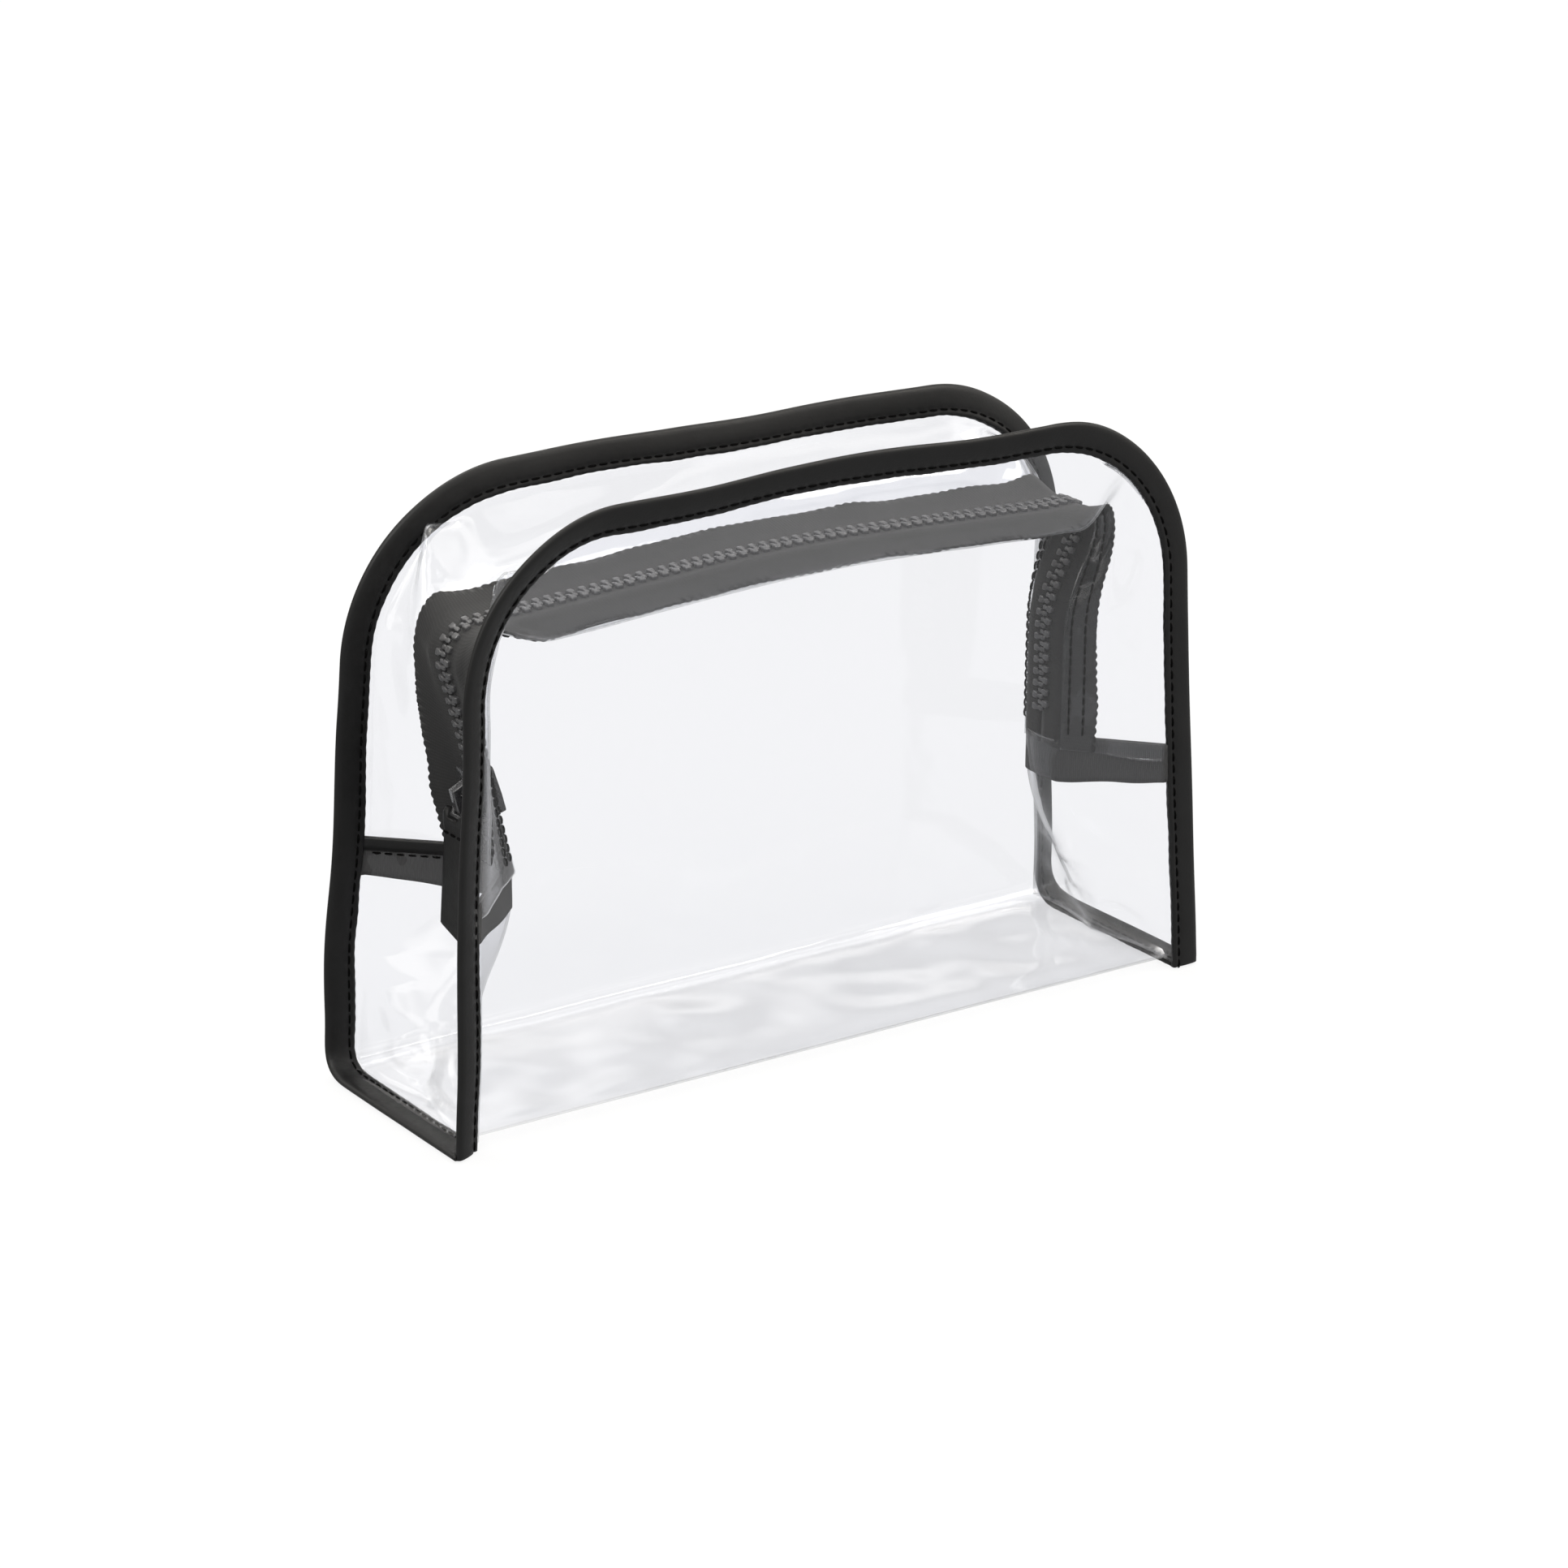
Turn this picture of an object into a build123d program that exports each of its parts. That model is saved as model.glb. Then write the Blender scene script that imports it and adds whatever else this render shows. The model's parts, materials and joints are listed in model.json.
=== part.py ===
from build123d import *
import math
import os

# Clear make-up bag, standing on a floor at z = 0.
# +X is the bag's width (to the right from the front), -Y is its front, +Z is up. Millimetres.

# ---- driving dimensions: the seam outline of the front and back panels
BASE_HALF = 105.0          # half width at the bottom
SHOULDER_HALF = 98.2       # half width at the corner where side and roof lines would meet
SHOULDER_Z = 143.5         # height of that corner
FRONT_CROWN_Z = 148.0      # height where the two roof lines would meet, in the front seam
BACK_CROWN_Z = 145.0       # and in the back seam, which is flatter
CORNER_R = 38.0            # rounded upper corners
CROWN_R = 600.0            # gentle arch of the top edge
FLOOR_GAP = 2.0            # the stiff bindings hold the film this far off the floor

# ---- depth of the bag and lean of its two big panels
BASE_DEPTH = 60.0
FRONT_LEAN = 1.0           # degrees, inwards
BACK_LEAN = 3.5            # degrees, inwards
BOTTOM_FOLD_R = 5.0        # soft fold between the bottom and the big panels

# ---- materials' thicknesses
FILM = 0.4
TAPE = 0.6
STRAP = 0.8
TRIM = 0.8                 # folded leathercloth edging of the crossing straps
SEAM_GAP = 0.35            # clearance between neighbouring soft pieces
SEAM_MEET = 1.8            # two films that meet at a narrow angle stop this far short of their seam
STRAP_GAP = 0.7            # crossing strap's ends to the big panels' middle surfaces
GUSSET_GAP = 0.1           # side film's top edge to the crossing strap's lower edge
OVERSIZE = 5.0             # the big sheet is this much too big all round before it is cut to the seams

# ---- binding: folded leathercloth strip standing out from each seam
BINDING_WIDE = 8.0
BINDING_THICK = 2.0
BINDING_ANGLE = 25.0       # degrees away from the panel's own plane
BINDING_GAP = 0.7          # from the panels' edge to the binding's inner edge
BINDING_ROUND = 0.8        # radius of its rounded edges
RAIL_START = 1.0           # bottom side bindings begin this far behind the front seam
RAIL_PAST = 3.0            # and run this far past the back seam, into the back binding's foot

# ---- zipper in the gusset
TAPE_HALF = 16.0           # one tape, from chain centre to its woven edge
CHAIN_GAP = 3.2            # from chain centre to the tape behind the teeth
CHAIN_FLAT = 6.5           # the gusset is flat this far to each side of the chain
PITCH = 3.2                # one tooth on one side to the next
TOOTH_LONG = 1.05
TOOTH_TALL = 2.6
TOOTH_REACH = 1.0          # how far a tooth's head passes the chain centre
TOOTH_GAP = 0.3            # from a tooth's root to its tape
TOOTH_NECK = 0.4           # share of a tooth's length that its slimmer head takes
HEAD_TALL = 0.8            # height of that head, as a share of the tooth's
CHAIN_END = 2.0            # the chain stops this far short of the tapes' ends
TOP_SHIFT = 3.0            # the closed zipper hangs this far in front of the middle
TOP_SKEW = 0.03            # and runs a little aslant, more to the front at the right
TOP_SAG = 2.0              # its front edge hangs lower, and its back edge higher, by this
LEFT_FOLD = ((62.5, 21.1), (115.0, 4.0))                 # heights and inward folds, left side
RIGHT_FOLD = ((62.5, 19.1), (97.0, 17.4), (115.0, 7.0))  # and right side
CHAIN_CORNERS = ((-97.4, 121.5), (97.4, 124.5))          # X and Z where the chain turns sharply
CHAIN_CROWN_Z = 128.3      # height of the chain at the middle of the top
CHAIN_CORNER_R = 8.0
CHAIN_BEND_R = 30.0        # gentle bend in the right side run
CHAIN_CROWN_R = 500.0
ROOF_FROM, ROOF_TO = -6.0, 18.0  # the tapes level out between these lengths past a chain corner

# ---- crossing straps, which end the zipper at each side
STRAP_LOW = 52.5
STRAP_WIDE = 10.0
STRAP_HIGH = STRAP_LOW + STRAP_WIDE
TRIM_WIDE = 3.2
BASE_FOLD = 1.5            # the side film is almost flat at the bottom
FOLD_HEIGHTS = (0.0, 1.0, 2.5)  # cross-sections of the side film beside the soft bottom fold
GUSSET_ROWS = 6            # and above it

# ---- slider and its pull
SLIDER_REST = 80.0         # height of the slider's middle
RUN_LOW, RUN_HIGH = 65.0, 100.0  # heights on the chain's straight left run, which the slider follows
SLIDER_LONG = 12.5
SLIDER_HEAD = 10.5         # width at the shoulders
SLIDER_TAIL = 8.6
PLATE = 1.1
PLATE_CLEAR = 0.35         # between the wings and the teeth
WING_ROUND = 1.2
SHOULDER_AT = 0.2          # the wings reach full width this share of their half length below the middle
FLANGE = 0.95              # width of the wings' turned-in edges
FLANGE_LONG = 4.6
BRIDGE_TALL = 4.8
BRIDGE_HOLE = 2.2          # middle of the bridge's hole above the outer wing
BRIDGE_WIDE = 2.4
BRIDGE_LONG = 8.0          # at its feet
BRIDGE_TOP = 6.0           # length of its flat top
BRIDGE_SINK = 0.01         # its feet start this far inside the wing
HOLE_LONG = 4.8
HOLE_TALL = 2.1
HOLE_ROUND = 0.9
WIRE = 1.3                 # pull link's bar
LINK_LONG = 5.0            # from the link's upper bar to its crossbar, middle to middle
LINK_LEAN = 35.0           # degrees: the link rests this far out from the chain's line
LINK_WIDE = 5.6            # outside of the link's ring
LINK_BEND_R = 1.2
CROSSBAR_WIDE = 9.0        # the link's lower bar, inside the strap's fold
CROSSBAR_OVER = 0.05       # it is this much thicker, in radius, than the bent wire
PULL_LONG = 31.0           # strap, from the crossbar to its tip
PULL_WIDE = 10.0
PULL_THICK = 2.2
EYE_R = 1.175              # inside of the strap's fold, round the crossbar
LOOP_WALL = 0.8            # leathercloth round that fold
TIP_SLANT = 15.0           # degrees: the strap's end is cut aslant
PULL_LEAN = 4.0            # degrees: the strap hangs a little away from the bag's side
NOTCH_WIDE = 6.4           # notch in the strap's fold, for the link's ring

# ---- sewing thread
STITCH = 3.2
STITCH_LONG = 2.4          # thread that shows in one stitch
THREAD = 0.45
THREAD_LIFT = 0.25         # clear of the face that it is sewn to
THREAD_TURN = 6.0          # degrees: no straight stitch lies where the tape turns more than this
STITCH_INSET = 1.6         # stitch line from the binding's inner edge
TAPE_INSET = 3.0           # stitch line from the tape's woven edge
TRIM_INSET = 0.8           # stitch line below the crossing straps' edging
PULL_STITCHES = (-3.2, 0.0, 3.2)
PULL_STITCH_DOWN = 4.5     # below the crossbar

BASE_Z = FLOOR_GAP + FILM / 2

# ---- cross-sections along the zipper gusset: close together where it turns the upper corners
CORNER_FROM, CORNER_TO = 98.0, 174.0  # lengths along the seam, from its foot
SIDE_ROWS, CORNER_ROWS, TOP_ROWS = 4, 19, 8


def front_y(z):
    """Front panel's middle surface at height z."""
    return -BASE_DEPTH / 2 + (z - BASE_Z) * math.tan(math.radians(FRONT_LEAN))


def back_y(z):
    """Back panel's middle surface at height z."""
    return BASE_DEPTH / 2 - (z - BASE_Z) * math.tan(math.radians(BACK_LEAN))


def smooth(a, b, t):
    """0 before a, 1 after b, and a smooth step between."""
    t = min(1.0, max(0.0, (t - a) / (b - a)))
    return t * t * (3 - 2 * t)


def mix(a, b, t):
    return a + (b - a) * t


def seam_wire(crown_z):
    """Left foot, up, over the top and down to the right foot, in the XZ plane at y = 0."""
    points = [
        (-BASE_HALF, 0, BASE_Z),
        (-SHOULDER_HALF, 0, SHOULDER_Z),
        (0, 0, crown_z),
        (SHOULDER_HALF, 0, SHOULDER_Z),
        (BASE_HALF, 0, BASE_Z),
    ]
    return Wire(FilletPolyline(*points, radius=[CORNER_R, CROWN_R, CORNER_R]).edges())


SEAM = seam_wire(FRONT_CROWN_Z)
BACK_SEAM = seam_wire(BACK_CROWN_Z)


def outward(seam, t):
    """Unit vector in the XZ plane, from a seam at t away from the inside of the bag."""
    tangent = seam.tangent_at(t)
    return Vector(-tangent.Z, 0, tangent.X)


def seam_at_height(z, side):
    """Half width of the straight side seam at height z, signed by side."""
    share = (z - BASE_Z) / (SHOULDER_Z - BASE_Z)
    return side * mix(BASE_HALF, SHOULDER_HALF, share)


def side_fold(z, side):
    """How far the side gusset folds inwards at height z."""
    folds = LEFT_FOLD if side < 0 else RIGHT_FOLD
    if z <= folds[0][0]:
        return mix(BASE_FOLD, folds[0][1], smooth(BASE_Z, STRAP_LOW, z))
    for (low_z, low), (high_z, high) in zip(folds, folds[1:]):
        if z <= high_z:
            return mix(low, high, (z - low_z) / (high_z - low_z))
    return folds[-1][1]


def chain_wire():
    """Closed zipper's chain in the XZ plane: up the left side, over the top, down the right side."""
    start_z = STRAP_HIGH + SEAM_GAP
    (left_x, left_z), (right_x, right_z) = CHAIN_CORNERS
    bend_z = RIGHT_FOLD[1][0]
    points = [
        (seam_at_height(start_z, -1) + side_fold(start_z, -1), 0, start_z),
        (left_x, 0, left_z),
        (0, 0, CHAIN_CROWN_Z),
        (right_x, 0, right_z),
        (seam_at_height(bend_z, 1) - side_fold(bend_z, 1), 0, bend_z),
        (seam_at_height(start_z, 1) - side_fold(start_z, 1), 0, start_z),
    ]
    radii = [CHAIN_CORNER_R, CHAIN_CROWN_R, CHAIN_CORNER_R, CHAIN_BEND_R]
    return Wire(FilletPolyline(*points, radius=radii).edges())


def spans(wire):
    """Lengths along a wire to its end, and to the middles of the bends at its two upper corners."""
    runs = [edge.length for edge in wire.order_edges()]
    return runs[0] + runs[1] / 2, sum(runs[:5]) + runs[5] / 2, sum(runs)


CHAIN = chain_wire()


def side_rise():
    """Length of the straight side seam from its foot to where it would meet the roof line."""
    return math.hypot(BASE_HALF - SHOULDER_HALF, SHOULDER_Z - BASE_Z)


def knots():
    """Pairs of lengths, along the seam and along the chain, that lie side by side."""
    start = (STRAP_HIGH + SEAM_GAP - BASE_Z) / (SHOULDER_Z - BASE_Z) * side_rise()
    seam_left, seam_right, seam_end = spans(SEAM)
    chain_left, chain_right, chain_end = spans(CHAIN)
    return (
        (start, 0.0),
        (seam_left, chain_left),
        (seam_right, chain_right),
        (seam_end - start, chain_end),
    )


KNOTS = knots()


def chain_length_at(t):
    """Length along the chain beside the place t of the seam."""
    along = t * SEAM.length
    for (seam_low, chain_low), (seam_high, chain_high) in zip(KNOTS, KNOTS[1:]):
        if along <= seam_high:
            break
    return mix(chain_low, chain_high, (along - seam_low) / (seam_high - seam_low))


def gusset_row(t):
    """Seven points across the gusset at t along the seam: front seam, front tape edge, front knee,
    chain, back knee, back tape edge, back seam. The knees bound the flat stretch at the chain."""
    o, b = SEAM.position_at(t), BACK_SEAM.position_at(t)
    front = Vector(o.X, front_y(o.Z), o.Z)
    back = Vector(b.X, back_y(b.Z), b.Z)
    along = chain_length_at(t)
    past_corner = min(along - KNOTS[1][1], KNOTS[2][1] - along)
    roof = smooth(ROOF_FROM, ROOF_TO, past_corner)
    c = CHAIN.position_at(along / CHAIN.length)
    middle = (front_y(c.Z) + back_y(c.Z)) / 2
    chain = Vector(c.X, middle - (TOP_SHIFT + TOP_SKEW * c.X) * roof, c.Z)
    flat = Vector(0, CHAIN_FLAT, 0)
    knee_front, knee_back = chain - flat, chain + flat
    slope = TAPE_HALF - CHAIN_FLAT
    side_front = knee_front + (front - knee_front).normalized() * slope
    side_back = knee_back + (back - knee_back).normalized() * slope
    top_front = chain + Vector(0, -TAPE_HALF, -TOP_SAG)
    top_back = chain + Vector(0, TAPE_HALF, TOP_SAG)
    tape_front = side_front + (top_front - side_front) * roof
    tape_back = side_back + (top_back - side_back) * roof
    return front, tape_front, knee_front, chain, knee_back, tape_back, back


def section_places():
    """Where along the seam, from 0 to 1, the gusset's cross-sections are, between the zipper's ends."""
    start, long = KNOTS[0][0], SEAM.length
    stops = (start, CORNER_FROM, CORNER_TO, long - CORNER_TO, long - CORNER_FROM, long - start)
    counts = (SIDE_ROWS, CORNER_ROWS, TOP_ROWS, CORNER_ROWS, SIDE_ROWS)
    places = [start / long]
    for low, high, count in zip(stops, stops[1:], counts):
        places += [mix(low, high, (i + 1) / count) / long for i in range(count)]
    return places


PLACES = section_places()
SECTIONS = [gusset_row(t) for t in PLACES]


def lofted_row(t):
    """The gusset's seven points at t, on the straight lines between its neighbouring sections."""
    for i, (low, high) in enumerate(zip(PLACES, PLACES[1:])):
        if t <= high:
            share = (t - low) / (high - low)
            return [mix(p, q, share) for p, q in zip(SECTIONS[i], SECTIONS[i + 1])]
    return SECTIONS[-1]


def band(seam, points_of, thick):
    """A thin closed band along the gusset; seam is its seam's place in a row of the gusset, and
    points_of picks its points from each row."""
    sections = []
    for row in SECTIONS:
        points = points_of(row)
        fold = Vector(row[3].X - row[seam].X, 0, row[3].Z - row[seam].Z).normalized()
        across = (points[-1] - points[0]).normalized()
        out = Vector(0, 1, 0).cross(fold).cross(across).normalized() * (thick / 2)
        loop = [p - out for p in points] + [p + out for p in reversed(points)]
        sections.append(Wire.make_polygon(loop, close=True))
    return Solid.make_loft(sections, ruled=True)


def zip_strip(row, seam, edge):
    """Film between a seam and the edge of the zipper's tape."""
    across = (row[edge] - row[seam]).normalized()
    return [row[seam] + across * SEAM_MEET, row[edge] - across * SEAM_GAP]


def zipper_tape(row, edge, knee):
    """One woven tape: from its edge, over the knee and flat to the back of the teeth."""
    inner = row[3] + (row[knee] - row[3]).normalized() * CHAIN_GAP
    return [row[edge], row[knee], inner]


def seam_cutter(seam, toward):
    """Everything inside a seam's outline and above the floor, on one side of the bag's middle."""
    foot = [seam.position_at(1), seam.position_at(0)]
    low = [Vector(p.X, 0, 0) for p in foot]
    rim = Wire(seam.edges() + Polyline(foot[0], low[0], low[1], foot[1]).edges())
    return extrude(Face(rim), amount=BASE_DEPTH, dir=(0, toward, 0))


def body_panel():
    """One sheet of film: front, bottom and back, folded softly at the two bottom edges."""
    top = FRONT_CROWN_Z + OVERSIZE
    profile = FilletPolyline(
        (0, front_y(top), top),
        (0, front_y(BASE_Z), BASE_Z),
        (0, back_y(BASE_Z), BASE_Z),
        (0, back_y(top), top),
        radius=BOTTOM_FOLD_R,
    )
    start = profile.position_at(0)
    section = Plane(start, x_dir=(1, 0, 0), z_dir=profile.tangent_at(0)) * Rectangle(
        2 * (BASE_HALF + OVERSIZE), FILM
    )
    sheet = sweep(section, path=profile, transition=Transition.RIGHT)
    return sheet & (seam_cutter(SEAM, -1) + seam_cutter(BACK_SEAM, 1))


def corner_inset(z):
    """How far the soft bottom fold keeps the big panels in from their planes at height z."""
    up = z - BASE_Z
    if up >= BOTTOM_FOLD_R:
        return 0.0
    return BOTTOM_FOLD_R - math.sqrt(BOTTOM_FOLD_R**2 - (BOTTOM_FOLD_R - up) ** 2)


def fold_section(z, side, low_z, thick, gap, offset=0.0):
    """Closed outline of the folded side gusset at height z, from front seam to back seam."""
    x = seam_at_height(z, side)
    apex = x - side * side_fold(z, side)
    inset = gap + corner_inset(z)
    middle = (front_y(z) + back_y(z)) / 2
    across = [
        (x, front_y(z) + inset),
        (apex, middle - CHAIN_FLAT),
        (apex, middle + CHAIN_FLAT),
        (x, back_y(z) - inset),
    ]
    outer = [(px + side * (offset + thick / 2), py, low_z) for px, py in across]
    inner = [(px + side * (offset - thick / 2), py, low_z) for px, py in reversed(across)]
    return Wire.make_polygon(outer + inner, close=True)


def side_gusset(side):
    """Clear side panel below the crossing strap: flat at the floor, folded in at its top."""
    low, high = BASE_Z + FILM, STRAP_LOW - GUSSET_GAP
    near_fold = [low + up for up in FOLD_HEIGHTS] + [BASE_Z + BOTTOM_FOLD_R]
    rest = [mix(near_fold[-1], high, (i + 1) / GUSSET_ROWS) for i in range(GUSSET_ROWS)]
    sections = [fold_section(z, side, z, FILM, SEAM_GAP) for z in near_fold + rest]
    return Solid.make_loft(sections, ruled=True)


def crossing_tape(side):
    """Ribbed tape sewn across the side gusset, where the zipper ends."""
    middle = STRAP_LOW + STRAP_WIDE / 2
    face = Face(fold_section(middle, side, STRAP_LOW, STRAP, STRAP_GAP))
    return extrude(face, amount=STRAP_WIDE, dir=(0, 0, 1))


def crossing_trim(side):
    """Leathercloth edging along the top of the crossing tape, on its outer side."""
    middle = STRAP_LOW + STRAP_WIDE / 2
    offset = (STRAP + TRIM) / 2
    face = Face(fold_section(middle, side, STRAP_HIGH - TRIM_WIDE, TRIM, STRAP_GAP, offset))
    return extrude(face, amount=TRIM_WIDE, dir=(0, 0, 1))


def lean_plane(degrees, y):
    """Location that leans the seam outline and moves it to the front or back panel."""
    return Location((0, y, BASE_Z)) * Rotation(degrees, 0, 0) * Location((0, 0, -BASE_Z))


def binding_arc(seam, outward_y):
    """Folded strip standing out of a seam's outline, tilted towards outward_y."""
    start = seam.position_at(0)
    out = outward(seam, 0)
    tilt = math.radians(BINDING_ANGLE)
    wide = out * math.cos(tilt) + Vector(0, outward_y, 0) * math.sin(tilt)
    middle = start + out * BINDING_GAP + wide * (BINDING_WIDE / 2)
    plane = Plane(middle, x_dir=wide, z_dir=seam.tangent_at(0))
    section = plane * RectangleRounded(BINDING_WIDE, BINDING_THICK, BINDING_ROUND)
    return sweep(section, path=seam, transition=Transition.RIGHT)


def front_binding():
    return lean_plane(-FRONT_LEAN, front_y(BASE_Z)) * binding_arc(SEAM, -1)


def back_binding():
    """Back seam and, without a break, the two bottom side seams as far as the front corners."""
    arc = lean_plane(BACK_LEAN, back_y(BASE_Z)) * binding_arc(BACK_SEAM, 1)
    rail = Box(BINDING_WIDE, BASE_DEPTH - RAIL_START + RAIL_PAST, FLOOR_GAP + FILM)
    x = BASE_HALF + BINDING_GAP + BINDING_WIDE / 2
    y = (RAIL_START + RAIL_PAST) / 2
    for side in (-1, 1):
        arc += Pos(side * x, y, (FLOOR_GAP + FILM) / 2) * rail
    return arc


def teeth(toward):
    """Moulded teeth on one tape; the two rows mesh half a pitch apart."""
    path = Polyline(*[row[3] for row in SECTIONS])
    reach = CHAIN_GAP - TOOTH_GAP + TOOTH_REACH
    neck = reach * TOOTH_NECK
    head = Rectangle(reach, TOOTH_TALL * HEAD_TALL, align=(Align.MIN, Align.CENTER))
    root = Rectangle(reach - neck, TOOTH_TALL, align=(Align.MIN, Align.CENTER))
    shape = Pos(-TOOTH_REACH, 0) * (head + Pos(neck, 0) * root)
    first = CHAIN_END if toward < 0 else CHAIN_END + PITCH / 2
    made = []
    for i in range(int((path.length - 2 * CHAIN_END) / PITCH)):
        at = (first + i * PITCH) / path.length
        plane = Plane(path.position_at(at), x_dir=(0, toward, 0), z_dir=path.tangent_at(at))
        made.append(extrude(plane * shape, amount=TOOTH_LONG / 2, both=True).solid())
    return Compound(children=made)


def stitch(middle, along, out, long):
    """One stitch: a short flat-sided length of thread lying on a surface that faces out."""
    plane = Plane(middle + out * (THREAD / 2), x_dir=along, z_dir=out)
    return (plane * Box(long, THREAD, THREAD)).solid()


def binding_thread(seam, outward_y, place):
    """Stitch line near the inner edge of a binding, on its face towards the bag's outside."""
    tilt = math.radians(BINDING_ANGLE)
    count = int(seam.length / STITCH)
    made = []
    for i in range(1, count - 1):
        t = i / count
        out = outward(seam, t)
        wide = out * math.cos(tilt) + Vector(0, outward_y, 0) * math.sin(tilt)
        face = Vector(0, outward_y, 0) * math.cos(tilt) - out * math.sin(tilt)
        middle = seam.position_at(t) + out * BINDING_GAP + wide * STITCH_INSET
        middle += face * (BINDING_THICK / 2 + THREAD_LIFT)
        made.append(place * stitch(middle, seam.tangent_at(t), face, STITCH_LONG))
    return Compound(children=made)


def tape_thread(edge, knee):
    """Stitch line that holds the film strip to the woven tape, on the outside of the gusset."""
    low, high = PLACES[0], PLACES[-1]
    count = int((high - low) * SEAM.length / STITCH)
    half = STITCH_LONG / 2 / SEAM.length
    made = []
    for i in range(1, count):
        t = mix(low, high, i / count)
        row, behind, ahead = lofted_row(t), lofted_row(t - half), lofted_row(t + half)
        turn = (row[edge] - behind[edge]).get_angle(ahead[edge] - row[edge])
        if turn > THREAD_TURN:
            continue
        across = (row[knee] - row[edge]).normalized()
        along = (ahead[edge] - behind[edge]).normalized()
        out = across.cross(along).normalized()
        if edge == 1:
            out = out * -1
        along = out.cross(across).normalized()
        middle = row[edge] + across * TAPE_INSET + out * (TAPE / 2 + THREAD_LIFT)
        made.append(stitch(middle, along, out, STITCH_LONG))
    return Compound(children=made)


def crossing_thread(side):
    """Stitch line just below the edging of the crossing tape."""
    z = STRAP_HIGH - TRIM_WIDE - TRIM_INSET
    middle_z = STRAP_LOW + STRAP_WIDE / 2
    x = seam_at_height(middle_z, side)
    apex = x - side * side_fold(middle_z, side)
    middle = (front_y(middle_z) + back_y(middle_z)) / 2
    made = []
    ends = ((front_y(middle_z) + STRAP_GAP, -1), (back_y(middle_z) - STRAP_GAP, 1))
    for end_y, toward in ends:
        knee = Vector(apex + side * STRAP / 2, middle + toward * CHAIN_FLAT, z)
        end = Vector(x + side * STRAP / 2, end_y, z)
        along = (end - knee).normalized()
        out = Vector(0, 0, 1).cross(along).normalized()
        if out.X * side < 0:
            out = out * -1
        count = int((end - knee).length / STITCH)
        for i in range(count):
            at = knee + along * ((i + 0.5) * STITCH) + out * THREAD_LIFT
            made.append(stitch(at, along, out, STITCH_LONG))
    return Compound(children=made)


def left_chain(z):
    """Middle of the chain's straight run on the bag's left side at height z."""
    x = seam_at_height(z, -1) + side_fold(z, -1)
    return Vector(x, (front_y(z) + back_y(z)) / 2, z)


def slider_frame():
    """Slider's own frame: x across the chain, y up along it, z out of the bag's left side."""
    along = (left_chain(RUN_HIGH) - left_chain(RUN_LOW)).normalized()
    out = Vector(0, 1, 0).cross(along).normalized() * -1
    return Plane(left_chain(SLIDER_REST), x_dir=along.cross(out), z_dir=out)


def wing(gap_side):
    """One wing of the slider: a plate that widens towards its head, which points down the chain."""
    half = SLIDER_LONG / 2
    outline = Polyline(
        (-SLIDER_TAIL / 2, half),
        (SLIDER_TAIL / 2, half),
        (SLIDER_HEAD / 2, -half * SHOULDER_AT),
        (SLIDER_HEAD / 2, -half),
        (-SLIDER_HEAD / 2, -half),
        (-SLIDER_HEAD / 2, -half * SHOULDER_AT),
        close=True,
    )
    face = fillet(make_face(outline).vertices(), WING_ROUND)
    low = TOOTH_TALL / 2 + PLATE_CLEAR
    plate = Pos(0, 0, low) * extrude(face, amount=PLATE)
    tape_clear = TAPE / 2 + PLATE_CLEAR
    tall = low + PLATE / 2 - tape_clear
    edge = Box(FLANGE, FLANGE_LONG, tall, align=(Align.CENTER, Align.MIN, Align.MIN))
    for side in (-1, 1):
        plate += Pos(side * (SLIDER_HEAD - FLANGE) / 2, WING_ROUND - half, tape_clear) * edge
    return plate if gap_side > 0 else plate.mirror(Plane.XY)


def slider_top():
    """Outer wing with the bridge that carries the pull."""
    base = TOOTH_TALL / 2 + PLATE_CLEAR + PLATE
    foot, top = BRIDGE_LONG / 2, BRIDGE_TOP / 2
    arch = Polyline((-foot, 0), (-top, BRIDGE_TALL), (top, BRIDGE_TALL), (foot, 0), close=True)
    hole = Pos(0, BRIDGE_HOLE) * RectangleRounded(HOLE_LONG, HOLE_TALL, HOLE_ROUND)
    side_view = Plane((-BRIDGE_WIDE / 2, 0, base - BRIDGE_SINK), x_dir=(0, 1, 0), z_dir=(1, 0, 0))
    bridge = extrude(side_view * (make_face(arch) - hole), amount=BRIDGE_WIDE)
    return wing(1) + bridge


def pull_link():
    """Bent wire through the bridge, with a crossbar below it: x across, y up, z outwards."""
    half = (LINK_WIDE - WIRE) / 2
    bend = FilletPolyline(
        (-half, -LINK_LONG, 0), (-half, 0, 0), (half, 0, 0), (half, -LINK_LONG, 0), radius=LINK_BEND_R
    )
    section = Plane(bend @ 0, x_dir=(1, 0, 0), z_dir=bend % 0) * Circle(WIRE / 2)
    loop = sweep(section, path=bend)
    bar_r = WIRE / 2 + CROSSBAR_OVER
    crossbar = Pos(0, -LINK_LONG, 0) * Rotation(0, 90, 0) * Cylinder(bar_r, CROSSBAR_WIDE)
    return loop + crossbar


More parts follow.
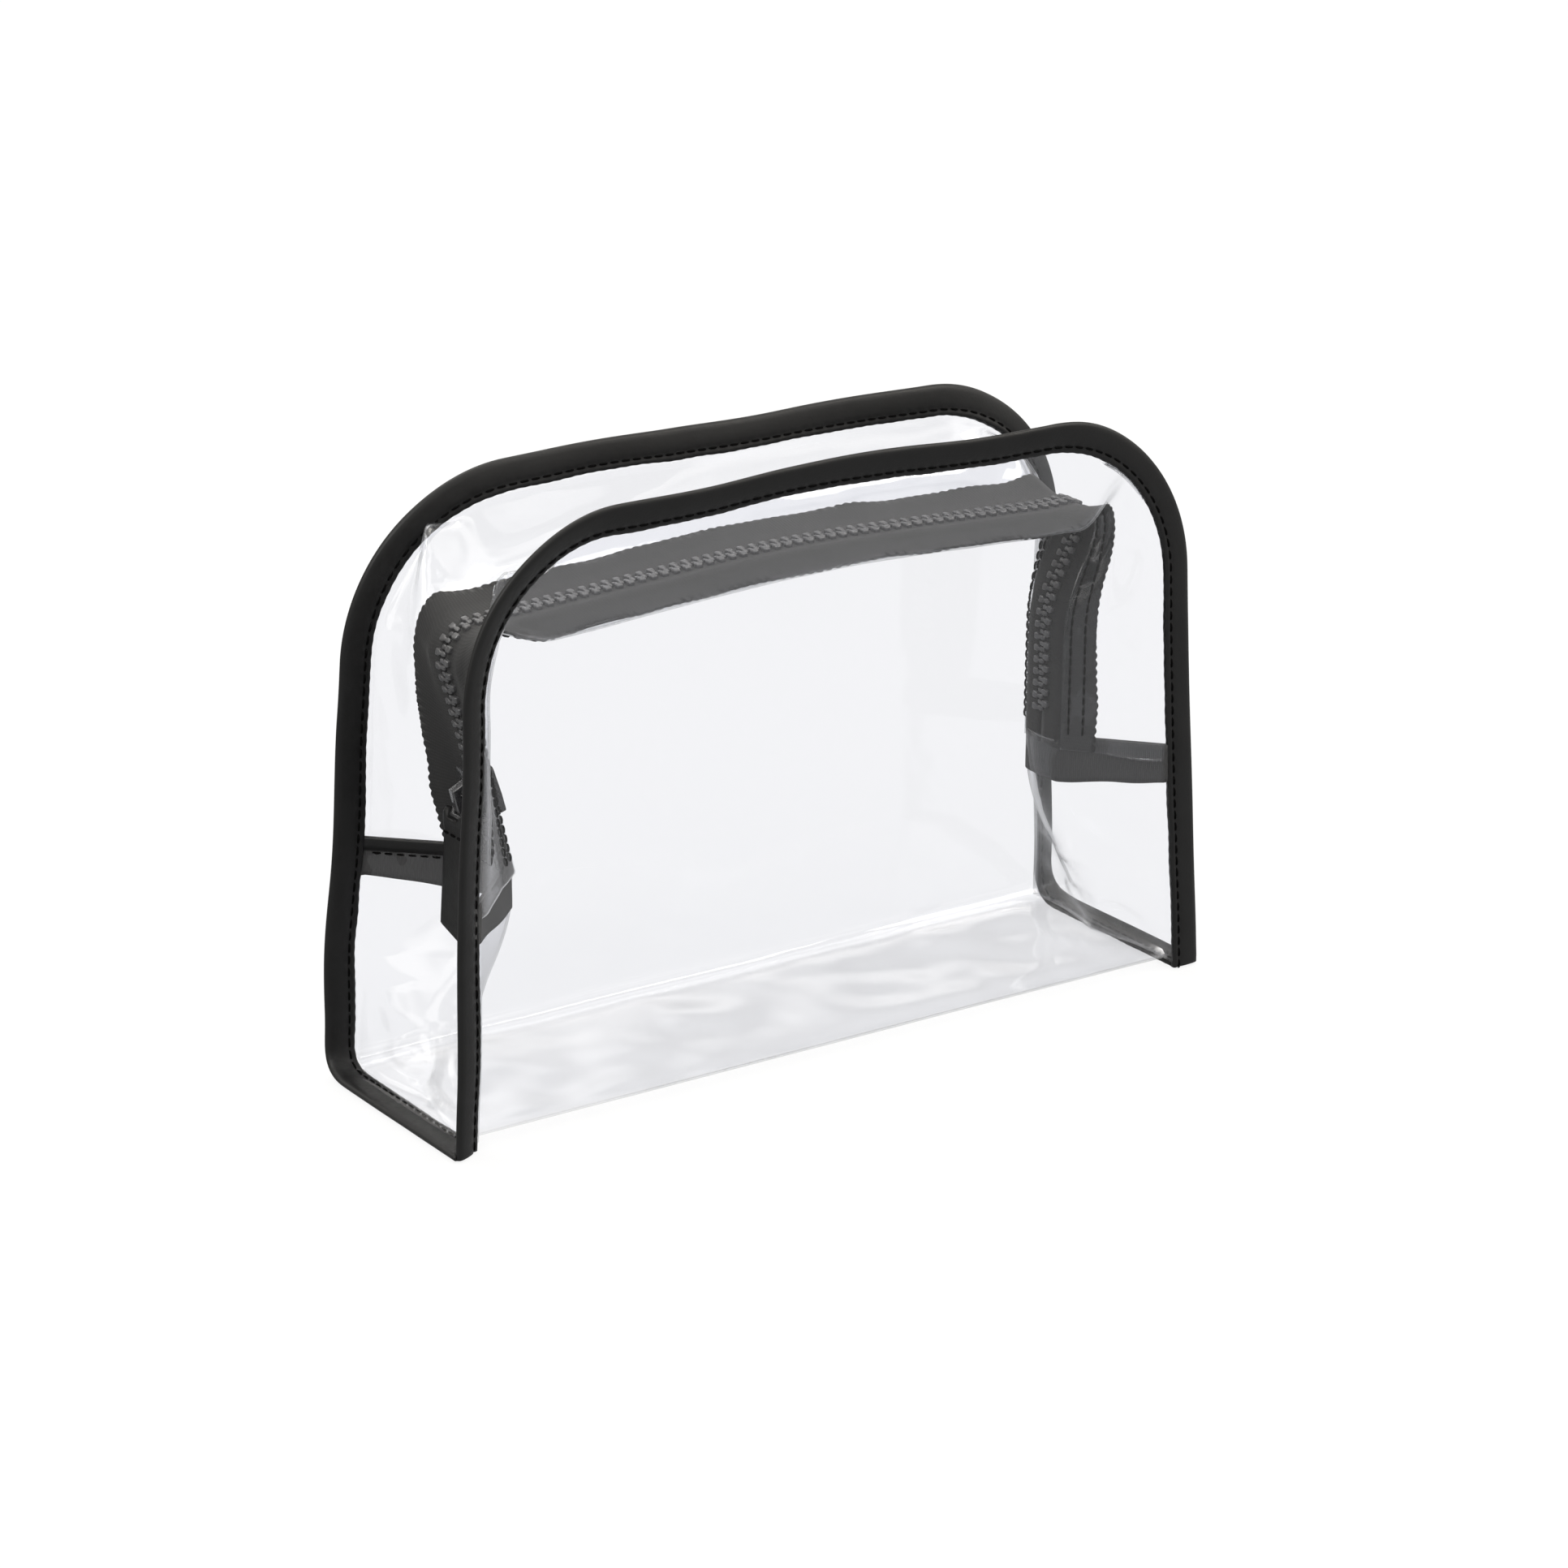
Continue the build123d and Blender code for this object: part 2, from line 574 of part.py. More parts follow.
def pull_strap():
    """Leathercloth strap folded over the link's crossbar, its two plies sewn together."""
    outer = EYE_R + LOOP_WALL
    side_view = Plane((-PULL_WIDE / 2, 0, 0), x_dir=(0, 1, 0), z_dir=(1, 0, 0))
    tail = Pos(-PULL_LONG / 2, 0) * Rectangle(PULL_LONG, PULL_THICK)
    body = extrude(side_view * (Circle(outer) + tail - Circle(EYE_R)), amount=PULL_WIDE)
    notch = Pos(0, -EYE_R, 0) * Box(
        NOTCH_WIDE, 3 * outer, 3 * outer, align=(Align.CENTER, Align.MIN, Align.CENTER)
    )
    slant = Pos(-PULL_WIDE / 2, -PULL_LONG, 0) * Rotation(0, 0, -TIP_SLANT) * Box(
        4 * PULL_WIDE, PULL_WIDE, 4 * PULL_THICK, align=(Align.CENTER, Align.MAX, Align.CENTER)
    )
    return body - notch - slant


def pull_thread():
    """Short stitch line across the strap, under its fold."""
    made = []
    for x in PULL_STITCHES:
        middle = Vector(x, -PULL_STITCH_DOWN, PULL_THICK / 2 + THREAD_LIFT)
        made.append(stitch(middle, Vector(1, 0, 0), Vector(0, 0, 1), STITCH_LONG))
    return Compound(children=made)


def hanging_frame(origin, down):
    """Frame for a piece that hangs towards down, its x across the bag's depth."""
    across = Vector(0, -1, 0)
    return Plane(origin, x_dir=across, z_dir=across.cross(down * -1))


def link_frame(slider):
    """The link's frame, at the middle of its upper bar in the bridge's hole."""
    lean = math.radians(LINK_LEAN)
    down = slider.y_dir * -math.cos(lean) + slider.z_dir * math.sin(lean)
    height = TOOTH_TALL / 2 + PLATE_CLEAR + PLATE + BRIDGE_HOLE
    return hanging_frame(slider.origin + slider.z_dir * height, down)


def strap_frame(link):
    """The strap's frame, at the middle of the link's crossbar."""
    lean = math.radians(PULL_LEAN)
    down = Vector(-math.sin(lean), 0, -math.cos(lean))
    return hanging_frame(link.origin - link.y_dir * LINK_LONG, down)


def place(shape, frame):
    return frame.location * shape


def write(name, shape):
    export_step(shape, f"parts/{name}.step")


def main():
    os.makedirs("parts", exist_ok=True)
    write("body_panel", body_panel())
    for name, side in (("left", -1), ("right", 1)):
        write(f"{name}_gusset", side_gusset(side))
        write(f"{name}_crossing_tape", crossing_tape(side))
        write(f"{name}_crossing_binding", crossing_trim(side))
        write(f"{name}_crossing_thread", crossing_thread(side))
    write("front_zip_strip", band(0, lambda row: zip_strip(row, 0, 1), FILM))
    write("back_zip_strip", band(6, lambda row: zip_strip(row, 6, 5), FILM))
    write("front_zipper_tape", band(0, lambda row: zipper_tape(row, 1, 2), TAPE))
    write("back_zipper_tape", band(6, lambda row: zipper_tape(row, 5, 4), TAPE))
    write("front_zipper_teeth", teeth(-1))
    write("back_zipper_teeth", teeth(1))
    write("front_tape_thread", tape_thread(1, 2))
    write("back_tape_thread", tape_thread(5, 4))
    write("front_binding", front_binding())
    write("back_binding", back_binding())
    write("front_binding_thread", binding_thread(SEAM, -1, lean_plane(-FRONT_LEAN, front_y(BASE_Z))))
    write("back_binding_thread", binding_thread(BACK_SEAM, 1, lean_plane(BACK_LEAN, back_y(BASE_Z))))
    slider = slider_frame()
    link = link_frame(slider)
    strap = strap_frame(link)
    write("slider_body", place(slider_top(), slider))
    write("slider_lower_wing", place(wing(-1), slider))
    write("pull_link", place(pull_link(), link))
    write("pull_strap", place(pull_strap(), strap))
    write("pull_thread", place(pull_thread(), strap))


main()
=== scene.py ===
"""Looks of the clear make-up bag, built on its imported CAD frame.

+X is the bag's width, -Y its front, +Z up. Shapes are worked out in millimetres and made in metres.
"""

import json
import math

import bpy
import numpy as np
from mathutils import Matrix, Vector, noise


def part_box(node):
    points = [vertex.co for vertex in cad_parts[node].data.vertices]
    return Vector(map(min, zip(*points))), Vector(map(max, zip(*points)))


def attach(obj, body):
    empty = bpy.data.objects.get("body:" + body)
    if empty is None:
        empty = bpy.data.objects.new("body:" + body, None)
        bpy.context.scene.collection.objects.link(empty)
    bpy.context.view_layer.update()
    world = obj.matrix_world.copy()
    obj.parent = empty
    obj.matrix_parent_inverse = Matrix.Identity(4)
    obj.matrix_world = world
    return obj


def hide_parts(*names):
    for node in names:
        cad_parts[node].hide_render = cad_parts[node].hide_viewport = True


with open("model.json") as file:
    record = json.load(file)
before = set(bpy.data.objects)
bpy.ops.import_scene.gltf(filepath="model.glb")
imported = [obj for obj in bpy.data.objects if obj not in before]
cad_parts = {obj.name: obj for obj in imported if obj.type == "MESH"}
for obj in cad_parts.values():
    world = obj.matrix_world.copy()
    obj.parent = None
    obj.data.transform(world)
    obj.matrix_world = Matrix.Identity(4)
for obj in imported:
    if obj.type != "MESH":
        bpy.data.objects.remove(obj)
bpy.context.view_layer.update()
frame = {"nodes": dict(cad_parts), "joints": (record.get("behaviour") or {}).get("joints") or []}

MM = 0.001
SCENE = bpy.context.scene


def box_mm(node):
    """Lowest and highest corners of a CAD node, in millimetres."""
    low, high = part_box(node)
    return low / MM, high / MM


PANEL_LOW, PANEL_HIGH = box_mm("body_panel")
STRAP_BOX_LOW, STRAP_BOX_HIGH = box_mm("left_crossing_tape")

# ---- seam outline and depth, as in the CAD
FILM = 0.4
BASE_HALF = PANEL_HIGH.x
BASE_Z = PANEL_LOW.z + FILM / 2
SHOULDER_HALF = 98.2
SHOULDER_Z = 143.5
FRONT_CROWN_Z = 148.0
BACK_CROWN_Z = 145.0
CORNER_R = 38.0
CROWN_R = 600.0
BASE_DEPTH = 60.0
FRONT_LEAN = math.radians(1.0)
BACK_LEAN = math.radians(3.5)
BOTTOM_FOLD_R = 5.0

# ---- zipper gusset, as in the CAD
TAPE = 0.6
TAPE_HALF = 16.0
CHAIN_FLAT = 6.5
TOP_SHIFT = 3.0
TOP_SKEW = 0.03
TOP_SAG = 2.0
LEFT_FOLD = ((62.5, 21.1), (115.0, 4.0))
RIGHT_FOLD = ((62.5, 19.1), (97.0, 17.4), (115.0, 7.0))
CHAIN_CORNERS = ((-97.4, 121.5), (97.4, 124.5))
CHAIN_CROWN_Z = 128.3
CHAIN_RADII = (8.0, 500.0, 8.0, 30.0)
ROOF_FROM, ROOF_TO = -6.0, 18.0
SEAM_GAP = 0.35
BASE_FOLD = 1.5
STRAP_LOW = STRAP_BOX_LOW.z
STRAP_HIGH = STRAP_BOX_HIGH.z
FILM_OVER_TAPE = 8.0

# ---- bindings and sewing
BINDING_WIDE = 8.0
BINDING_GAP = 0.7
SIDE_TILTS = {(-1, -1): 27.0, (-1, 1): -4.0, (1, -1): 6.0, (1, 1): 25.0}  # degrees, by seam and side
TOP_TILT = 14.0
STITCH = 3.2
STITCH_INSET = 1.6
THREAD = 0.62


# ------------------------------------------------------------------ small helpers


def smooth(a, b, t):
    t = min(1.0, max(0.0, (t - a) / (b - a)))
    return t * t * (3 - 2 * t)


def mix(a, b, t):
    return a + (b - a) * t


def wander(x, y=0.0, z=0.0):
    """Smooth seeded noise from about -1 to 1; its arguments are in wavelengths."""
    return noise.noise(Vector((x + 31.7, y + 11.3, z + 5.9))) * 1.6


def front_y(z):
    return -BASE_DEPTH / 2 + (z - BASE_Z) * math.tan(FRONT_LEAN)


def back_y(z):
    return BASE_DEPTH / 2 - (z - BASE_Z) * math.tan(BACK_LEAN)


# ------------------------------------------------------------------ seam outline


def rounded_path(corners, radii, step=0.4):
    """Points along a line through corners, each inner corner rounded to its radius."""
    points = [np.array(corners[0], float)]
    for before, corner, after, radius in zip(corners, corners[1:], corners[2:], radii):
        a, c, b = (np.array(p, float) for p in (before, corner, after))
        da, db = (a - c) / np.linalg.norm(a - c), (b - c) / np.linalg.norm(b - c)
        half = math.acos(max(-1.0, min(1.0, float(da @ db)))) / 2
        reach = radius / math.tan(half)
        bisector = (da + db) / np.linalg.norm(da + db)
        centre = c + bisector * radius / math.sin(half)
        first, last = c + da * reach - centre, c + db * reach - centre
        turn = math.pi - 2 * half
        count = max(3, int(radius * turn / step))
        for i in range(count + 1):
            f = i / count
            blend = first * math.sin((1 - f) * turn) + last * math.sin(f * turn)
            points.append(centre + blend / math.sin(turn))
    points.append(np.array(corners[-1], float))
    return np.array(points)


class Outline:
    """A rounded line in the XZ plane, read by its share of the length, from 0 to 1."""

    def __init__(self, corners, radii):
        self.points = rounded_path(corners, radii)
        steps = np.linalg.norm(np.diff(self.points, axis=0), axis=1)
        self.at = np.concatenate([[0.0], np.cumsum(steps)])
        self.length = self.at[-1]

    def position(self, t):
        s = min(1.0, max(0.0, t)) * self.length
        x = np.interp(s, self.at, self.points[:, 0])
        return Vector((x, 0, np.interp(s, self.at, self.points[:, 1])))

    def tangent(self, t):
        e = 0.6 / self.length
        return (self.position(t + e) - self.position(t - e)).normalized()

    def inward(self, t):
        along = self.tangent(t)
        return Vector((along.z, 0, -along.x))

    def at_height(self, z):
        """t on the left side where the line is at height z."""
        low, high = 0.0, 0.4
        while high - low > 1e-7:
            middle = (low + high) / 2
            low, high = (middle, high) if self.position(middle).z < z else (low, middle)
        return low

    def nearest(self, x, z):
        """Length along the line to its point nearest (x, z)."""
        return self.at[np.argmin(np.hypot(self.points[:, 0] - x, self.points[:, 1] - z))]


def seam_outline(crown_z):
    shoulder, crown = (SHOULDER_HALF, SHOULDER_Z), (0, crown_z)
    corners = [(-BASE_HALF, BASE_Z), (-shoulder[0], shoulder[1]), crown, shoulder, (BASE_HALF, BASE_Z)]
    return Outline(corners, (CORNER_R, CROWN_R, CORNER_R))


SEAM = seam_outline(FRONT_CROWN_Z)
BACK_SEAM = seam_outline(BACK_CROWN_Z)

SEAM_WAVE = 0.8  # millimetres: a soft seam is a little uneven
SEAM_WAVE_LONG = 40.0  # and its unevenness is about this long
SEAM_FOOT = 20.0  # it is even this near to its feet
ZIP_START = SEAM.at_height(STRAP_HIGH - 4.0)
CORNER_T = SEAM.at_height(SHOULDER_Z - CORNER_R * 0.3)


def on_top(t):
    """0 on the sides, 1 along the top."""
    corner_mid = SHOULDER_HALF - CORNER_R * 0.35
    return smooth(corner_mid, SHOULDER_HALF - CORNER_R, abs(SEAM.position(t).x))


def binding_dir(t, toward):
    """The way a binding stands out of its seam: mostly outwards, and tilted to toward * Y."""
    side_tilt = SIDE_TILTS[toward, -1 if t < 0.5 else 1]
    tilt = math.radians(mix(side_tilt, TOP_TILT, on_top(t)) + 3.0 * wander(t * 9, toward))
    return SEAM.inward(t) * -math.cos(tilt) + Vector((0, toward * math.sin(tilt), 0))


def seam_point(t, toward):
    """A point of the front (toward -1) or back (toward 1) seam."""
    seam = SEAM if toward < 0 else BACK_SEAM
    along = t * SEAM.length
    even = smooth(0, SEAM_FOOT, min(along, SEAM.length - along))
    p = seam.position(t) - seam.inward(t) * (SEAM_WAVE * even * wander(along / SEAM_WAVE_LONG, toward))
    p.y = front_y(p.z) if toward < 0 else back_y(p.z)
    return p


# ------------------------------------------------------------------ zipper gusset


def seam_at_height(z, side):
    return side * mix(BASE_HALF, SHOULDER_HALF, (z - BASE_Z) / (SHOULDER_Z - BASE_Z))


def side_fold(z, side):
    """How far the side gusset folds inwards at height z."""
    folds = LEFT_FOLD if side < 0 else RIGHT_FOLD
    if z <= folds[0][0]:
        return mix(BASE_FOLD, folds[0][1], smooth(BASE_Z, STRAP_LOW, z))
    for (low_z, low), (high_z, high) in zip(folds, folds[1:]):
        if z <= high_z:
            return mix(low, high, (z - low_z) / (high_z - low_z))
    return folds[-1][1]


def chain_line():
    """The closed zipper's chain, from its left foot over the top to its right foot."""
    low, bend = STRAP_HIGH + SEAM_GAP, RIGHT_FOLD[1][0]
    corners = [
        (seam_at_height(low, -1) + side_fold(low, -1), low),
        CHAIN_CORNERS[0],
        (0, CHAIN_CROWN_Z),
        CHAIN_CORNERS[1],
        (seam_at_height(bend, 1) - side_fold(bend, 1), bend),
        (seam_at_height(low, 1) - side_fold(low, 1), low),
    ]
    return Outline(corners, CHAIN_RADII)


CHAIN = chain_line()


def knots():
    """Pairs of lengths, along the seam and along the chain, that lie side by side."""
    start = SEAM.at_height(STRAP_HIGH + SEAM_GAP) * SEAM.length
    left = SEAM.nearest(-SHOULDER_HALF, SHOULDER_Z), CHAIN.nearest(*CHAIN_CORNERS[0])
    right = SEAM.nearest(SHOULDER_HALF, SHOULDER_Z), CHAIN.nearest(*CHAIN_CORNERS[1])
    return (start, 0.0), left, right, (SEAM.length - start, CHAIN.length)


KNOTS = knots()


def gusset_row(t):
    """Front seam, front tape edge, front knee, chain, back knee, back tape edge, back seam."""
    along = t * SEAM.length
    for (seam_low, chain_low), (seam_high, chain_high) in zip(KNOTS, KNOTS[1:]):
        if along <= seam_high:
            break
    along = mix(chain_low, chain_high, (along - seam_low) / (seam_high - seam_low))
    roof = smooth(ROOF_FROM, ROOF_TO, min(along - KNOTS[1][1], KNOTS[2][1] - along))
    c = CHAIN.position(along / CHAIN.length)
    c += CHAIN.tangent(0.003) * min(0.0, along) + CHAIN.tangent(0.997) * max(0.0, along - CHAIN.length)
    middle = (front_y(c.z) + back_y(c.z)) / 2
    chain = Vector((c.x, middle - (TOP_SHIFT + TOP_SKEW * c.x) * roof, c.z))
    row = {-1: seam_point(t, -1), 1: seam_point(t, 1)}
    knees, edges = {}, {}
    for toward in (-1, 1):
        knees[toward] = chain + Vector((0, toward * CHAIN_FLAT, 0))
        on_side = knees[toward] + (row[toward] - knees[toward]).normalized() * (TAPE_HALF - CHAIN_FLAT)
        above = chain + Vector((0, toward * TAPE_HALF, TOP_SAG * toward))
        edges[toward] = on_side + (above - on_side) * roof
    return row[-1], edges[-1], knees[-1], chain, knees[1], edges[1], row[1]


def half_row(t, toward):
    """Seam, tape edge, knee and chain of one half of the gusset, and the way out of the bag."""
    row = gusset_row(t)
    seam, edge, knee, chain = row[:4] if toward < 0 else (row[6], row[5], row[4], row[3])
    ahead, behind = gusset_row(t + 0.002)[3], gusset_row(t - 0.002)[3]
    along = (ahead - behind).normalized()
    out = along.cross((knee - chain).normalized()) * toward
    return seam, edge, knee, chain, out.normalized() * -1


def surface_out(along, across, hint):
    """Unit normal to along and across, on the side that hint points to."""
    n = along.cross(across).normalized()
    return n if n.dot(hint) > 0 else n * -1


# ------------------------------------------------------------------ meshes


def finish_piece(obj, material, body, replaces, flat_shade=False):
    obj.data.materials.append(material)
    if not flat_shade:
        obj.data.polygons.foreach_set("use_smooth", [True] * len(obj.data.polygons))
    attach(obj, body)
    if replaces:
        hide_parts(*replaces)
    return obj


def grid(name, rows, ring=False):
    """A quad mesh through rows of points in millimetres; ring closes every row on itself.
    Its UV map is flat: along and across, in millimetres."""
    count, across = len(rows), len(rows[0])
    co = np.array([[tuple(p) for p in row] for row in rows], float)
    steps = np.linalg.norm(np.diff(co, axis=0), axis=2).mean(axis=1)
    u = np.concatenate([[0.0], np.cumsum(steps)])
    widths = np.linalg.norm(np.roll(co, -1, axis=1) - co, axis=2).mean(axis=0)
    v = np.concatenate([[0.0], np.cumsum(widths)])
    faces, uvs = [], []
    last = across if ring else across - 1
    for i in range(count - 1):
        for j in range(last):
            k = (j + 1) % across
            faces.append((i * across + j, i * across + k, (i + 1) * across + k, (i + 1) * across + j))
            uvs += [(u[i], v[j]), (u[i], v[j + 1]), (u[i + 1], v[j + 1]), (u[i + 1], v[j])]
    if ring:
        faces.append(tuple(reversed(range(across))))
        faces.append(tuple(range((count - 1) * across, count * across)))
        uvs += [(u[0], v[j]) for j in reversed(range(across))]
        uvs += [(u[-1], v[j]) for j in range(across)]
    mesh = bpy.data.meshes.new(name)
    mesh.from_pydata((co.reshape(-1, 3) * MM).tolist(), [], faces)
    layer = mesh.uv_layers.new(name="flat")
    layer.data.foreach_set("uv", np.array(uvs, np.float32).ravel())
    obj = bpy.data.objects.new(name, mesh)
    SCENE.collection.objects.link(obj)
    return obj


def thicken(obj, thick):
    """Gives a sheet its real thickness in millimetres, to both sides."""
    solid = obj.modifiers.new("thickness", "SOLIDIFY")
    solid.thickness = thick * MM
    solid.offset = 0
    solid.use_even_offset = False
    return obj


def bezier(a, b, c, d, count):
    points = []
    for i in range(count + 1):
        f = i / count
        g = 1 - f
        points.append(a * g**3 + b * (3 * g * g * f) + c * (3 * g * f * f) + d * f**3)
    return points


def sweep_rows(points, wides, profile_at):
    """Rings of a profile swept along points; wides is the way each ring's width points."""
    rows = []
    travelled = 0.0
    for i, (p, wide) in enumerate(zip(points, wides)):
        ahead, behind = points[min(i + 1, len(points) - 1)], points[max(i - 1, 0)]
        along = (ahead - behind).normalized()
        wide = (wide - along * wide.dot(along)).normalized()
        tall = along.cross(wide)
        if i:
            travelled += (p - points[i - 1]).length
        rows.append([p + wide * w + tall * h for w, h in profile_at(travelled)])
    return rows


def respace(points, wides, step):
    """The same line with its points step apart, and its width directions to match."""
    co = np.array([tuple(p) for p in points])
    wide = np.array([tuple(w) for w in wides])
    at = np.concatenate([[0.0], np.cumsum(np.linalg.norm(np.diff(co, axis=0), axis=1))])
    spots = np.linspace(0, at[-1], int(at[-1] / step) + 1)
    new = [Vector([np.interp(s, at, co[:, k]) for k in range(3)]) for s in spots]
    new_wide = [Vector([np.interp(s, at, wide[:, k]) for k in range(3)]).normalized() for s in spots]
    return new, new_wide


# one stitch from end to end: place along it, share of the thread's width, lift in thread widths
STITCH_SHAPE = (
    (-0.5, 0.35, -0.35), (-0.36, 0.9, 0.1), (0, 1.0, 0.28), (0.36, 0.9, 0.1), (0.5, 0.35, -0.35),
)


def stitch_mesh(name, stitches):
    """One mesh of many stitches: (middle, along, out, length) each, in millimetres."""
    sides = 6
    verts, faces = [], []
    for middle, along, out, long in stitches:
        across = along.cross(out)
        first = len(verts)
        for f, fat, lift in STITCH_SHAPE:
            for k in range(sides):
                a = math.tau * k / sides
                ring = (out * math.sin(a) + across * math.cos(a)) * (THREAD / 2 * fat)
                verts.append((middle + along * (f * long) + out * (lift * THREAD) + ring) * MM)
        for r in range(len(STITCH_SHAPE) - 1):
            for k in range(sides):
                a, b = first + r * sides + k, first + r * sides + (k + 1) % sides
                faces.append((a, b, b + sides, a + sides))
        faces.append(tuple(first + k for k in reversed(range(sides))))
        faces.append(tuple(first + (len(STITCH_SHAPE) - 1) * sides + k for k in range(sides)))
    mesh = bpy.data.meshes.new(name)
    mesh.from_pydata([tuple(v) for v in verts], [], faces)
    obj = bpy.data.objects.new(name, mesh)
    SCENE.collection.objects.link(obj)
    return obj


# ------------------------------------------------------------------ materials


class Nodes:
    """Short names for building the node tree of one material, or of the world."""

    def __init__(self, name, world=False):
        self.made = (bpy.data.worlds if world else bpy.data.materials).new(name)
        self.made.use_nodes = True
        self.tree = self.made.node_tree
        self.tree.nodes.clear()
        self.out = self.add("ShaderNodeOutputWorld" if world else "ShaderNodeOutputMaterial")

    def add(self, kind, links=None, **settings):
        node = self.tree.nodes.new(kind)
        for key, value in settings.items():
            if hasattr(node, key):
                setattr(node, key, value)
        for key, value in (links or {}).items():
            socket = node.inputs[key]
            if isinstance(value, bpy.types.NodeSocket):
                self.tree.links.new(value, socket)
            else:
                socket.default_value = value
        return node

    def flat(self):
        return self.add("ShaderNodeUVMap", uv_map="flat").outputs["UV"]

    def place(self):
        return self.add("ShaderNodeTexCoord").outputs["Object"]

    def noise(self, vector, scale, detail=3.0, rough=0.5):
        links = {"Vector": vector, "Scale": scale, "Detail": detail, "Roughness": rough}
        return self.add("ShaderNodeTexNoise", links).outputs["Fac"]

    def math(self, operation, a, b=0.0, c=0.0):
        return self.add("ShaderNodeMath", {0: a, 1: b, 2: c}, operation=operation).outputs[0]

    def between(self, fac, low, high):
        """low where fac is 0, high where it is 1."""
        links = {"Value": fac, "To Min": low, "To Max": high}
        return self.add("ShaderNodeMapRange", links).outputs["Result"]

    def ramp(self, fac, dark, light):
        node = self.add("ShaderNodeValToRGB", {"Fac": fac})
        node.color_ramp.elements[0].color = (*dark, 1)
        node.color_ramp.elements[1].color = (*light, 1)
        return node.outputs["Color"]

    def bump(self, height, distance, strength=1.0, normal=None):
        links = {"Height": height, "Distance": distance * MM, "Strength": strength}
        if normal is not None:
            links["Normal"] = normal
        return self.add("ShaderNodeBump", links).outputs["Normal"]

    def principled(self, **links):
        named = {key.replace("_", " "): value for key, value in links.items()}
        shader = self.add("ShaderNodeBsdfPrincipled", named)
        self.tree.links.new(shader.outputs[0], self.out.inputs["Surface"])
        return self.made


def film_material():
    """Clear soft vinyl: lets light straight through, and mirrors more the more it is seen edge on.
    The mirror's strength is Schlick's, because light leaves a sheet as easily as it enters."""
    n = Nodes("clear_film")
    place = n.place()
    ripple = n.bump(n.noise(place, 34.0, 1.5, 0.4), 1.6, 0.5)
    skin = n.bump(n.noise(place, 300.0, 2.0, 0.5), 0.012, 0.35, ripple)
    facing = n.add("ShaderNodeLayerWeight", {"Blend": 0.5, "Normal": skin}).outputs["Facing"]
    mirror = n.between(n.math("POWER", facing, 5.0), 0.028, 0.9)
    rough = n.between(n.noise(place, 60.0, 4.0, 0.6), 0.03, 0.08)
    clear = n.add("ShaderNodeBsdfTransparent", {"Color": (0.973, 0.975, 0.983, 1)})
    gloss = n.add("ShaderNodeBsdfAnisotropic", {"Color": (1, 1, 1, 1), "Roughness": rough, "Normal": skin})
    both = n.add("ShaderNodeMixShader", {0: mirror, 1: clear.outputs[0], 2: gloss.outputs[0]})
    n.tree.links.new(both.outputs[0], n.out.inputs["Surface"])
    return n.made


def leather_material(name, shade=0.006):
    """Black coated leathercloth: fine pebbled grain, satin, a little rubbed."""
    n = Nodes(name)
    place = n.place()
    cells = n.add("ShaderNodeTexVoronoi", {"Vector": place, "Scale": 1900.0}, feature="SMOOTH_F1")
    grain = n.bump(cells.outputs["Distance"], 0.035, 0.55)
    soft = n.bump(n.noise(place, 260.0, 4.0, 0.6), 0.12, 0.5, grain)
    rub = n.noise(place, 120.0, 5.0, 0.65)
    colour = n.ramp(rub, (shade * 0.75,) * 3, (shade * 1.5, shade * 1.5, shade * 1.56))
    rough = n.between(n.noise(place, 420.0, 3.0), 0.34, 0.52)
    return n.principled(Base_Color=colour, Roughness=rough, Normal=soft, Specular_IOR_Level=0.2)


def weave_material(name, shade, pitch_along, pitch_across, depth):
    """Woven tape: yarns along and across, from the flat map in millimetres. Its colour is painted darker
    in the weave's low parts, as painted shade between the yarns.
    """
    n = Nodes(name)
    flat = n.flat()
    sep = n.add("ShaderNodeSeparateXYZ", {0: flat})
    along = n.math("MULTIPLY", sep.outputs[0], math.tau / pitch_along)
    across = n.math("MULTIPLY", sep.outputs[1], math.tau / pitch_across)
    yarn = n.math("SINE", along)
    twill = n.math("SINE", n.math("ADD", across, n.math("MULTIPLY", along, 0.5)))
    height = n.math("ADD", n.math("MULTIPLY", yarn, 0.5), n.math("MULTIPLY", twill, 0.35))
    height = n.between(height, 0.3, 0.7)
    fuzz = n.noise(n.place(), 2600.0, 3.0, 0.7)
    height = n.math("ADD", height, n.math("MULTIPLY", fuzz, 0.25))
    # colour follows the weave's height: painted shade between the yarns, times a random tone of the yarn
    weave_shade_and_tone = n.math("MULTIPLY", height, n.between(n.noise(n.place(), 90.0, 3.0), 0.75, 1.2))
    colour = n.ramp(weave_shade_and_tone, (shade * 0.45,) * 3, (shade * 1.5, shade * 1.5, shade * 1.55))
    return n.principled(
        Base_Color=colour,
        Roughness=n.between(fuzz, 0.72, 0.92),
        Normal=n.bump(height, depth, 0.8),
        Sheen_Weight=0.06,
        Sheen_Roughness=0.5,
        Specular_IOR_Level=0.25,
    )


def teeth_material():
    n = Nodes("zipper_teeth")
    place = n.place()
    normal = n.bump(n.noise(place, 900.0, 3.0), 0.03, 0.5)
    colour = n.ramp(n.noise(place, 200.0, 3.0), (0.03,) * 3, (0.06, 0.06, 0.064))
    rough = n.between(n.noise(place, 500.0, 2.0), 0.24, 0.38)
    return n.principled(Base_Color=colour, Roughness=rough, Normal=normal, Specular_IOR_Level=0.5)


